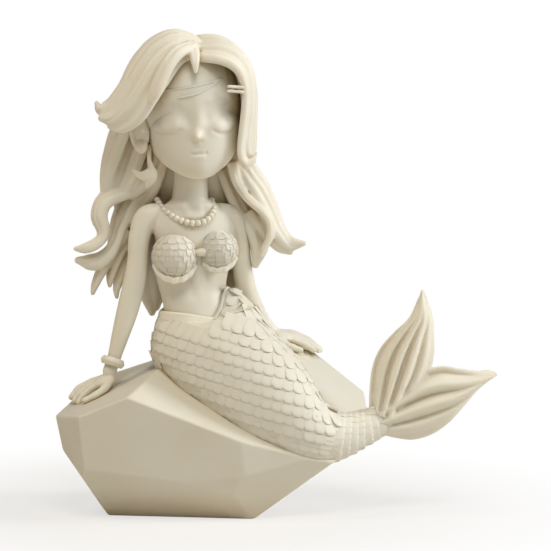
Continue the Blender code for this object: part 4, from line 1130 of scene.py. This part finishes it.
def make_hair():
    front = bmesh.new()
    for name, rows in FRINGE.items():
        add_lock(front, name, rows, head_anchor, 3.3)
    for name, rows in SIDE_LOCKS.items():
        add_lock(front, name, rows, behind_shoulders, 3.0)
    cast(melted("hair_front", front, HAIR_GRAIN, 3), HAIR_RESIN)
    back = bmesh.new()
    centre = HEAD_FRAME @ Vector((-0.2, 3.0, 5.0))
    add_ball(back, centre, (HEAD_HALF_WIDTH + 2.6, HEAD_HALF_DEPTH + 1.4, 20.4))
    under = smooth_rows(UNDERHAIR, 4)
    add_tube(back, [Vector(row[:3]) for row in under], [row[3:] for row in under], 32)
    for name, rows in BACK_LOCKS.items():
        add_lock(back, name, rows, body_axis, 3.2)
    cast(melted("hair_back", back, HAIR_GRAIN, 3), HAIR_RESIN)


make_hair()

# %% [markdown]
# The tail starts as a smooth form of rings. The first ring is the waist's edge itself, highest at
# the right hip and lowest at the notch in front; from there the rings swell over the hips and
# follow the tail's middle line, which bends over the stone and thins towards the fin.

# %% Smooth form of the tail
TAIL_GIRTH = 18.4
TAIL_GRAIN = 0.5
TAIL_LINE = [
    (9.8, -4.6, 55.8, 1.01, 0.75),
    (13.3, -8.0, 50.8, 0.98, 0.78),
    (25.7, -16.0, 40.0, 0.89, 0.74),
    (35.0, -20.0, 31.6, 0.74, 0.63),
    (42.4, -21.0, 27.4, 0.58, 0.52),
    (50.0, -19.0, 26.7, 0.42, 0.39),
    (58.3, -16.0, 28.7, 0.31, 0.28),
    (64.3, -14.0, 31.2, 0.26, 0.19),
    (69.4, -13.0, 34.0, 0.25, 0.12),
]
# Height of the waist's edge round the trunk, by compass.
WAIST = [(-180, 65.4), (-150, 65.8), (-120, 65.7), (-100, 65.3), (-80, 64.5), (-70, 64.1), (-60, 64.4),
         (-50, 66.3), (-40, 68.6), (-30, 71.5), (-20, 74.2), (-10, 73.4), (10, 71.6), (30, 69.6),
         (60, 68.6), (110, 67.6), (150, 66.4), (180, 65.4)]
NOTCH = -66
RING = [-360 * k / 64 for k in range(64)]
HIP_STEPS = 10


def waist_height(compass):
    compass = (compass + 180) % 360 - 180
    return float(np.interp(compass, [row[0] for row in WAIST], [row[1] for row in WAIST]))


def compass_of(point):
    """Compass at which on_trunk puts its point under or over a place near the waist."""
    x, y, width, depth = trunk_section(point.z)
    off = Matrix.Rotation(-math.radians(CHEST_TURN), 2) @ Vector((point.x - x, point.y - y))
    across, deep = off.x / (width * CHEST_HALF_WIDTH), off.y / (depth * CHEST_HALF_DEPTH)
    return math.degrees(math.atan2(deep, across)) + CHEST_TURN


def on_waist(compass, drop=0.0):
    """Point of the waist's edge, or a little below it; it stands out most at the right hip."""
    hip = math.exp(-(((compass - 25 + 180) % 360 - 180) / 40) ** 2)
    return on_trunk(compass, waist_height(compass) - drop, 1.1 + 0.9 * hip + (0.6 + 0.2 * hip) * drop)


def tail_rings():
    """Rings of 64 points, each counted from the viewer's right round by the front."""
    rows = smooth_rows(TAIL_LINE, 6)
    points = [Vector(row[:3]) for row in rows]
    hint = Vector((math.cos(math.radians(CHEST_TURN)), math.sin(math.radians(CHEST_TURN)), 0.35))
    rings, gone = [], 10.5
    for i, (row, point, along) in enumerate(zip(rows, points, tangents(points))):
        gone += (point - points[max(i - 1, 0)]).length
        side = (hint - hint.dot(along) * along).normalized()
        level = along.cross(Vector((0, 1, 0))).normalized()
        side = side.lerp(level, min(1.0, gone / 30)).normalized()
        outward = along.cross(side)
        turns = [-math.radians(compass) for compass in RING]
        rings.append([point + side * (row[3] * TAIL_GIRTH * math.cos(turn))
                      + outward * (row[4] * TAIL_GIRTH * math.sin(turn)) for turn in turns])
    hips = []
    for step in range(HIP_STEPS):
        t = step / HIP_STEPS
        ring = []
        for compass, end, beyond in zip(RING, rings[0], rings[1]):
            start = on_waist(compass)
            length = (end - start).length
            leave = (on_waist(compass, 3) - start).normalized() * length
            arrive = (beyond - end).normalized() * length
            ring.append(start * (2 * t ** 3 - 3 * t * t + 1) + leave * (t ** 3 - 2 * t * t + t)
                        + end * (3 * t * t - 2 * t ** 3) + arrive * (t ** 3 - t * t))
        hips.append(ring)
    return hips + rings


def make_tail_form():
    clay = bmesh.new()
    add_skin(clay, tail_rings())
    return melted("tail", clay, TAIL_GRAIN, 6)


TAIL = make_tail_form()

# %% [markdown]
# Scales lie in rows that were carved across the tail at a slant, down to the right, and turn
# upright behind the bend where the tail narrows. Each row here is the line where a slanted plane
# cuts the smooth form: the table gives the planes by where they leave its left and right outline,
# and the scales stand on that line, each row shifted by half a scale against the one above.

# %% Rows of scales
# Left and right end of a row in front view, (x, height) each, thigh first.
SLANTED_ROWS = [
    (3.5, 76.5, 16.8, 74.1), (0.2, 74.5, 21.8, 69.5), (-3.2, 72.2, 25.5, 64.9), (-6.5, 69.7, 28.8, 61.0),
    (-9.1, 66.4, 32.5, 56.4), (-10.7, 61.6, 37.5, 49.9), (-10.7, 55.6, 42.5, 42.9), (-8.3, 51.6, 45.4, 37.2),
    (-4.6, 46.9, 48.4, 32.9), (0.4, 41.2, 50.7, 27.9), (6.4, 35.8, 51.7, 23.2), (13.7, 30.1, 50.6, 20.1),
    (21.6, 24.5, 47.3, 17.9), (30.2, 19.9, 42.0, 15.9), (33.0, 16.0, 40.0, 12.9),
]
UPRIGHT_ROWS = [
    (44.0, 18.5, 48.0, 35.8), (52.3, 21.2, 53.6, 34.4), (59.3, 24.5, 58.6, 34.8), (65.3, 26.4, 62.9, 36.8),
    (70.6, 28.3, 67.3, 39.3), (75.6, 29.3, 71.3, 41.3),
]
ROW_PITCH = 3.3
UPRIGHT_PITCH = 2.2
SCALE_WIDTH = 3.5
UPRIGHT_WIDTH_SHARE = 0.62
# How much wider and longer a scale is than its place in the row, so that it laps its neighbours.
SCALE_LAP = (1.18, 1.5)
BEND_X = 49.0
SCALES_END_X = 69
# Bare strip under the waist's edge: next to the thin lip on the right, and under the hem.
BARE_AT_LIP = 0.4
BARE_AT_HEM = 2.4


def paced_rows(rows, pitch):
    """Rows set apart by the pitch at their middles, read from a smooth run through the table."""
    fine = smooth_rows(rows, 24)
    middles = [Vector(((row[0] + row[2]) / 2, 0, (row[1] + row[3]) / 2)) for row in fine]
    chosen, gone = [fine[0]], 0.0
    for i in range(1, len(fine)):
        along_row = Vector((fine[i][2] - fine[i][0], 0, fine[i][3] - fine[i][1])).normalized()
        step = middles[i] - middles[i - 1]
        gone += (step - step.dot(along_row) * along_row).length
        if gone >= pitch:
            chosen.append(fine[i])
            gone = 0.0
    return chosen


def cut_line(form, place, facing):
    """Closed line of points where a plane cuts a form, the longest one if there are several."""
    copy = form.copy()
    cut = bmesh.ops.bisect_plane(copy, geom=copy.verts[:] + copy.edges[:] + copy.faces[:],
                                 plane_co=place, plane_no=facing, dist=1e-5)
    # The edges are kept in order, so every run walks them alike and each scale gets the same height.
    edges = dict.fromkeys(item for item in cut["geom_cut"] if isinstance(item, bmesh.types.BMEdge))
    best = []
    while edges:
        edge = next(iter(edges))
        del edges[edge]
        line = [edge.verts[0], edge.verts[1]]
        while True:
            following = next((e for e in line[-1].link_edges if e in edges), None)
            if following is None:
                break
            del edges[following]
            line.append(following.other_vert(line[-1]))
        if len(line) > len(best):
            best = line
    points = [v.co.copy() for v in best]
    copy.free()
    return points


def evenly_on(points, spacing, shift):
    """Points set evenly on a closed line, counted from its foremost point."""
    if len(points) < 8:
        return []
    first = min(range(len(points)), key=lambda i: points[i].y)
    points = points[first:] + points[:first]
    points.append(points[0])
    lengths = np.cumsum([0.0] + [(b - a).length for a, b in zip(points, points[1:])])
    count = max(4, round(lengths[-1] / spacing))
    result = []
    for k in range(count):
        at = lengths[-1] * ((k + shift) % count) / count
        result.append(Vector([float(np.interp(at, lengths, [p[axis] for p in points])) for axis in range(3)]))
    return result


def tail_scales():
    form = bmesh.new()
    form.from_mesh(TAIL.data)
    surface = BVHTree.FromBMesh(form)
    scales = []
    for rows, upright in ((SLANTED_ROWS, False), (UPRIGHT_ROWS, True)):
        chosen = paced_rows(rows, UPRIGHT_PITCH if upright else ROW_PITCH)
        for number, row in enumerate(chosen):
            ahead = Vector((row[3] - row[1], 0, row[0] - row[2])).normalized()
            if upright:
                ahead = Vector((abs(ahead.x), 0, -ahead.z if ahead.x < 0 else ahead.z))
            elif ahead.z > 0:
                ahead = -ahead
            place = Vector((row[0], 0, row[1]))
            width = SCALE_WIDTH * (UPRIGHT_WIDTH_SHARE if upright else 1.0)
            line = cut_line(form, place, ahead)
            for point in evenly_on(line, width, 0.5 * (number % 2)):
                facing = surface.find_nearest(point)[1]
                if (point.x > BEND_X) != upright or point.x > SCALES_END_X or depth_in_stone(point) > 1:
                    continue
                compass = compass_of(point)
                margin = BARE_AT_LIP if NOTCH < compass < 60 else BARE_AT_HEM
                if point.z > waist_height(compass) - margin:
                    continue
                tip = ahead - ahead.dot(facing) * facing
                steep = tip.length
                if steep < 0.2:
                    continue
                pitch = (UPRIGHT_PITCH if upright else ROW_PITCH) / max(steep, 0.5)
                scales.append((point, facing, tip.normalized(), width * SCALE_LAP[0], pitch * SCALE_LAP[1]))
    form.free()
    return scales


TAIL_SCALES = tail_scales()
lay_scales("tail_scales", TAIL_SCALES, 0.65)
cast(TAIL, SCALE_RESIN)

# %% [markdown]
# A rolled rim closes the tail at the waist. Left of the notch a smooth hem lies under it, three
# cords melted into one band; right of the notch only a thin lip runs up over the hip.

# %% Waistband
# Cords from the rim down: how far below the edge, and their radius left of the notch and right.
CORDS = [(0.0, 1.0, 0.6), (1.0, 0.8, 0.0), (1.9, 0.75, 0.0)]


def add_cord(clay, drop, left_radius, right_radius):
    loops = []
    steps = 144
    for k in range(steps):
        compass = -180 + 360 * k / steps
        here, after = (on_waist(angle, drop) for angle in (compass, compass + 2))
        along = (after - here).normalized()
        outward = on_trunk(compass, here.z, 4) - on_trunk(compass, here.z, 0)
        outward = (outward - outward.dot(along) * along).normalized()
        up = outward.cross(along).normalized()
        right = 1 / (1 + math.exp(-(compass - NOTCH) / 2)) / (1 + math.exp((compass - 70) / 4))
        radius = max(0.05, left_radius + (right_radius - left_radius) * right)
        sink = 0.15 + 0.12 * drop
        loops.append([clay.verts.new(here + outward * (radius * math.cos(math.pi * j / 6) - sink)
                                     + up * (radius * math.sin(math.pi * j / 6))) for j in range(12)])
    add_ring(clay, loops)


def make_waistband():
    clay = bmesh.new()
    for cord in CORDS:
        add_cord(clay, *cord)
    cast(melted("waistband", clay, 0.3, 4), SKIN_RESIN)


make_waistband()

# %% [markdown]
# The fin is two pointed lobes of a thick sheet, gathered at the root into folds that run out to
# the tips. A lobe lies between two edge lines; its folds follow the line from root to tip, deep
# near the root and flat at the outer margin, and the tip curls back a little.

# %% Fin
UPPER_LOBE = {
    "edge_a": [(61.0, 33.6), (61.0, 39.0), (61.8, 48.0), (64.4, 54.8), (69.0, 60.2), (73.8, 64.6),
               (76.2, 69.0), (78.2, 74.4)],
    "edge_b": [(71.0, 32.0), (75.6, 39.0), (80.4, 45.6), (82.4, 52.0), (82.6, 58.6), (82.2, 65.0),
               (80.6, 70.4), (79.0, 74.6)],
    "folds": 4.5,
}
LOWER_LOBE = {
    "edge_a": [(64.0, 36.4), (71.0, 42.0), (78.0, 47.0), (84.6, 49.2), (90.4, 48.4), (96.4, 47.4),
               (101.0, 47.4), (103.6, 46.6)],
    "edge_b": [(65.0, 26.4), (70.0, 25.2), (75.6, 24.6), (81.6, 26.2), (87.4, 30.0), (92.6, 35.6),
               (97.4, 41.0), (103.4, 45.6)],
    "folds": 3.5,
}
FIN_Y = -13
FIN_CURL = 5.0
FIN_FOLD_DEPTH = 1.9
FIN_ROOT_THICKNESS = 6.0
FIN_EDGE_THICKNESS = 1.3
FIN_GRAIN = 0.32


def add_lobe(clay, lobe):
    across = 72
    edge_a = smooth_rows(lobe["edge_a"], 8)
    edge_b = smooth_rows(lobe["edge_b"], 8)
    count = len(edge_a) - 1
    rings = []
    for i, ((xa, za), (xb, zb)) in enumerate(zip(edge_a, edge_b)):
        out = i / count
        spread = math.sin(math.pi * min(1.0, 0.22 + 0.95 * out))
        front, back = [], []
        for j in range(across + 1):
            t = j / across
            fold = abs(math.cos(math.pi * lobe["folds"] * (t + 0.04 * math.sin(4 * out)))) ** 0.8 - 0.6
            strength = spread * math.sin(math.pi * min(1, t + 0.08)) ** 0.4
            bow = (1.5 + 2.0 * out) * math.sin(math.pi * t)
            rim = min(1.0, 4 * t, 4 * (1 - t))
            wall = FIN_EDGE_THICKNESS + (FIN_ROOT_THICKNESS - FIN_EDGE_THICKNESS) * (1 - out) ** 2.5 * rim
            y = FIN_Y - 2 * FIN_FOLD_DEPTH * strength * fold - bow + FIN_CURL * out * out
            x, z = xa + (xb - xa) * t, za + (zb - za) * t
            front.append(Vector((x, y - wall / 2, z)))
            back.append(Vector((x, y + wall / 2, z)))
        rings.append(front + back[::-1])
    add_skin(clay, rings)


def make_fin():
    clay = bmesh.new()
    for lobe in (UPPER_LOBE, LOWER_LOBE):
        add_lobe(clay, lobe)
    cast(melted("fin", clay, FIN_GRAIN, 4), SKIN_RESIN)


make_fin()

# %% [markdown]
# Two fine strands cross the forehead, and a short clip holds the hair at the right temple.

# %% Forehead strands and clip
FOREHEAD_STRANDS = [[(-6.2, 140.6), (1.0, 141.6), (7.0, 142.8), (12.4, 144.3)],
                    [(-2.0, 138.3), (3.6, 139.4), (8.4, 141.6), (12.4, 144.3)]]
CLIP_ENDS = [(14.6, -14.2, 141.2), (19.2, -13.6, 140.8)]


def on_face(x, height):
    """Point on the front of the head, found along a line of sight."""
    back = HEAD_FRAME.inverted()
    start = back @ Vector((x, -40, height))
    end = back @ Vector((x, 0, height))
    heights = [row[0] for row in HEAD_SECTIONS]
    for step in range(400):
        spot = start.lerp(end, step / 400)
        wide, deep, forward = (np.interp(spot.z, heights, [row[i] for row in HEAD_SECTIONS])
                               for i in (1, 2, 3))
        sideways, ahead = spot.x / (HEAD_HALF_WIDTH * wide), (spot.y + forward) / (HEAD_HALF_DEPTH * deep)
        if sideways ** 2 + ahead ** 2 < 1:
            return HEAD_FRAME @ spot
    return HEAD_FRAME @ end


def make_small_things():
    clay = bmesh.new()
    for strand in FOREHEAD_STRANDS:
        line = [on_face(x, height) for x, height in smooth_rows(strand, 8)]
        line = [point + Vector((0, -0.5, 0)) for point in line]
        add_tube(clay, line, [(0.45, 0.45)] * len(line), 12, Vector((0, 0, 1)))
    cast(melted("forehead_strands", clay, 0.2, 2), HAIR_RESIN)
    clay = bmesh.new()
    start, end = (Vector(point) for point in CLIP_ENDS)
    for shift in (-0.75, 0.75):
        line = [start.lerp(end, step / 12) + Vector((0, 0, shift)) for step in range(13)]
        add_tube(clay, line, [(0.7, 0.55)] * len(line), 12, Vector((0, 1, 0)))
    cast(melted("hair_clip", clay, 0.2, 3), SKIN_RESIN)


make_small_things()
bpy.data.objects.remove(SCALE_FORM, do_unlink=True)

# %% [markdown]
# The camera stands where the figurine was seen from: straight in front, six degrees above its
# middle and far away, so that lines hardly converge.

# %% Camera
PICTURE_WIDTH = 0.18367
VIEW_MIDDLE = Vector((0.030, 0, 0.078))
VIEW_DISTANCE = 1.4
VIEW_RISE = math.radians(6)

lens_data = bpy.data.cameras.new("camera")
lens_data.sensor_width = 36
lens_data.lens = 36 * VIEW_DISTANCE / PICTURE_WIDTH
lens_data.clip_start = 0.1
camera = bpy.data.objects.new("camera", lens_data)
bpy.context.scene.collection.objects.link(camera)
camera.location = VIEW_MIDDLE + VIEW_DISTANCE * Vector((0, -math.cos(VIEW_RISE), math.sin(VIEW_RISE)))
camera.rotation_euler = (math.radians(90) - VIEW_RISE, 0, 0)
bpy.context.scene.camera = camera
print("focal length in mm:", round(lens_data.lens, 1))

# %% [markdown]
# The floor is a wide pale disc. Close to the stone it is partly matt and keeps the shadow; further
# out it turns into pure white for the camera, so that it meets the white background.

# %% Floor
FLOOR_RADIUS = 3.0
FLOOR_COLOUR = (0.78, 0.75, 0.70, 1)
WHITE_FROM, WHITE_BEYOND = 0.05, 0.16
WHITE_NEAR_STONE = 0.65


def make_floor():
    clay = bmesh.new()
    bmesh.ops.create_circle(clay, cap_ends=True, segments=96, radius=FLOOR_RADIUS / MM)
    floor = as_object("floor", clay)
    floor.data.transform(Matrix.Scale(MM, 4))
    material = bpy.data.materials.new("white_floor")
    material.use_nodes = True
    nodes, links = material.node_tree.nodes, material.node_tree.links
    matt = nodes["Principled BSDF"]
    matt.inputs["Base Color"].default_value = FLOOR_COLOUR
    matt.inputs["Roughness"].default_value = 0.8
    glow = nodes.new("ShaderNodeEmission")
    place = nodes.new("ShaderNodeTexCoord")
    distance = nodes.new("ShaderNodeVectorMath")
    distance.operation = "LENGTH"
    fade = nodes.new("ShaderNodeMapRange")
    fade.interpolation_type = "SMOOTHSTEP"
    fade.inputs["From Min"].default_value = WHITE_FROM
    fade.inputs["From Max"].default_value = WHITE_BEYOND
    fade.inputs["To Min"].default_value = WHITE_NEAR_STONE
    seen = nodes.new("ShaderNodeLightPath")
    factor = nodes.new("ShaderNodeMath")
    factor.operation = "MULTIPLY"
    mix = nodes.new("ShaderNodeMixShader")
    links.new(place.outputs["Object"], distance.inputs[0])
    links.new(distance.outputs["Value"], fade.inputs["Value"])
    links.new(fade.outputs["Result"], factor.inputs[0])
    links.new(seen.outputs["Is Camera Ray"], factor.inputs[1])
    links.new(factor.outputs["Value"], mix.inputs["Fac"])
    links.new(matt.outputs["BSDF"], mix.inputs[1])
    links.new(glow.outputs["Emission"], mix.inputs[2])
    links.new(mix.outputs["Shader"], nodes["Material Output"].inputs["Surface"])
    floor.data.materials.append(material)


make_floor()

# %% [markdown]
# Soft studio light: a large lamp high in front, a neutral one on the right, a warm one overhead on
# the left, a weak orange one low on the left, and an even sky that fills the hollows. The sky is
# pure white only for the camera.

# %% Light
SKY_LEVEL = 0.18
LAMPS = {
    "high": {"place": (0.15, -0.8, 1.2), "size": 0.6, "power": 7.0, "colour": (1.0, 0.98, 0.92)},
    "right": {"place": (1.25, -0.05, 0.7), "size": 0.6, "power": 12.0, "colour": (1.0, 1.0, 1.0)},
    "top_left": {"place": (-0.6, -0.2, 1.3), "size": 0.6, "power": 4.5, "colour": (1.0, 0.86, 0.64)},
    "left": {"place": (-1.1, -0.4, 0.1), "size": 0.8, "power": 1.0, "colour": (1.0, 0.55, 0.12)},
}


def make_light():
    world = bpy.data.worlds.new("studio")
    bpy.context.scene.world = world
    world.use_nodes = True
    nodes, links = world.node_tree.nodes, world.node_tree.links
    sky = nodes["Background"]
    sky.inputs["Strength"].default_value = SKY_LEVEL
    white = nodes.new("ShaderNodeBackground")
    seen = nodes.new("ShaderNodeLightPath")
    mix = nodes.new("ShaderNodeMixShader")
    sky.inputs["Color"].default_value = (1.0, 0.985, 0.95, 1)
    white.inputs["Color"].default_value = (1, 1, 1, 1)
    links.new(seen.outputs["Is Camera Ray"], mix.inputs["Fac"])
    links.new(sky.outputs["Background"], mix.inputs[1])
    links.new(white.outputs["Background"], mix.inputs[2])
    links.new(mix.outputs["Shader"], nodes["World Output"].inputs["Surface"])
    for name, lamp in LAMPS.items():
        data = bpy.data.lights.new(name, "AREA")
        data.shape = "DISK"
        data.size = lamp["size"]
        data.energy = lamp["power"]
        data.color = lamp["colour"]
        light = bpy.data.objects.new(name, data)
        bpy.context.scene.collection.objects.link(light)
        light.location = lamp["place"]
        light.rotation_euler = (VIEW_MIDDLE - light.location).to_track_quat("-Z", "Y").to_euler()
    bpy.context.scene.view_settings.view_transform = "Standard"


make_light()
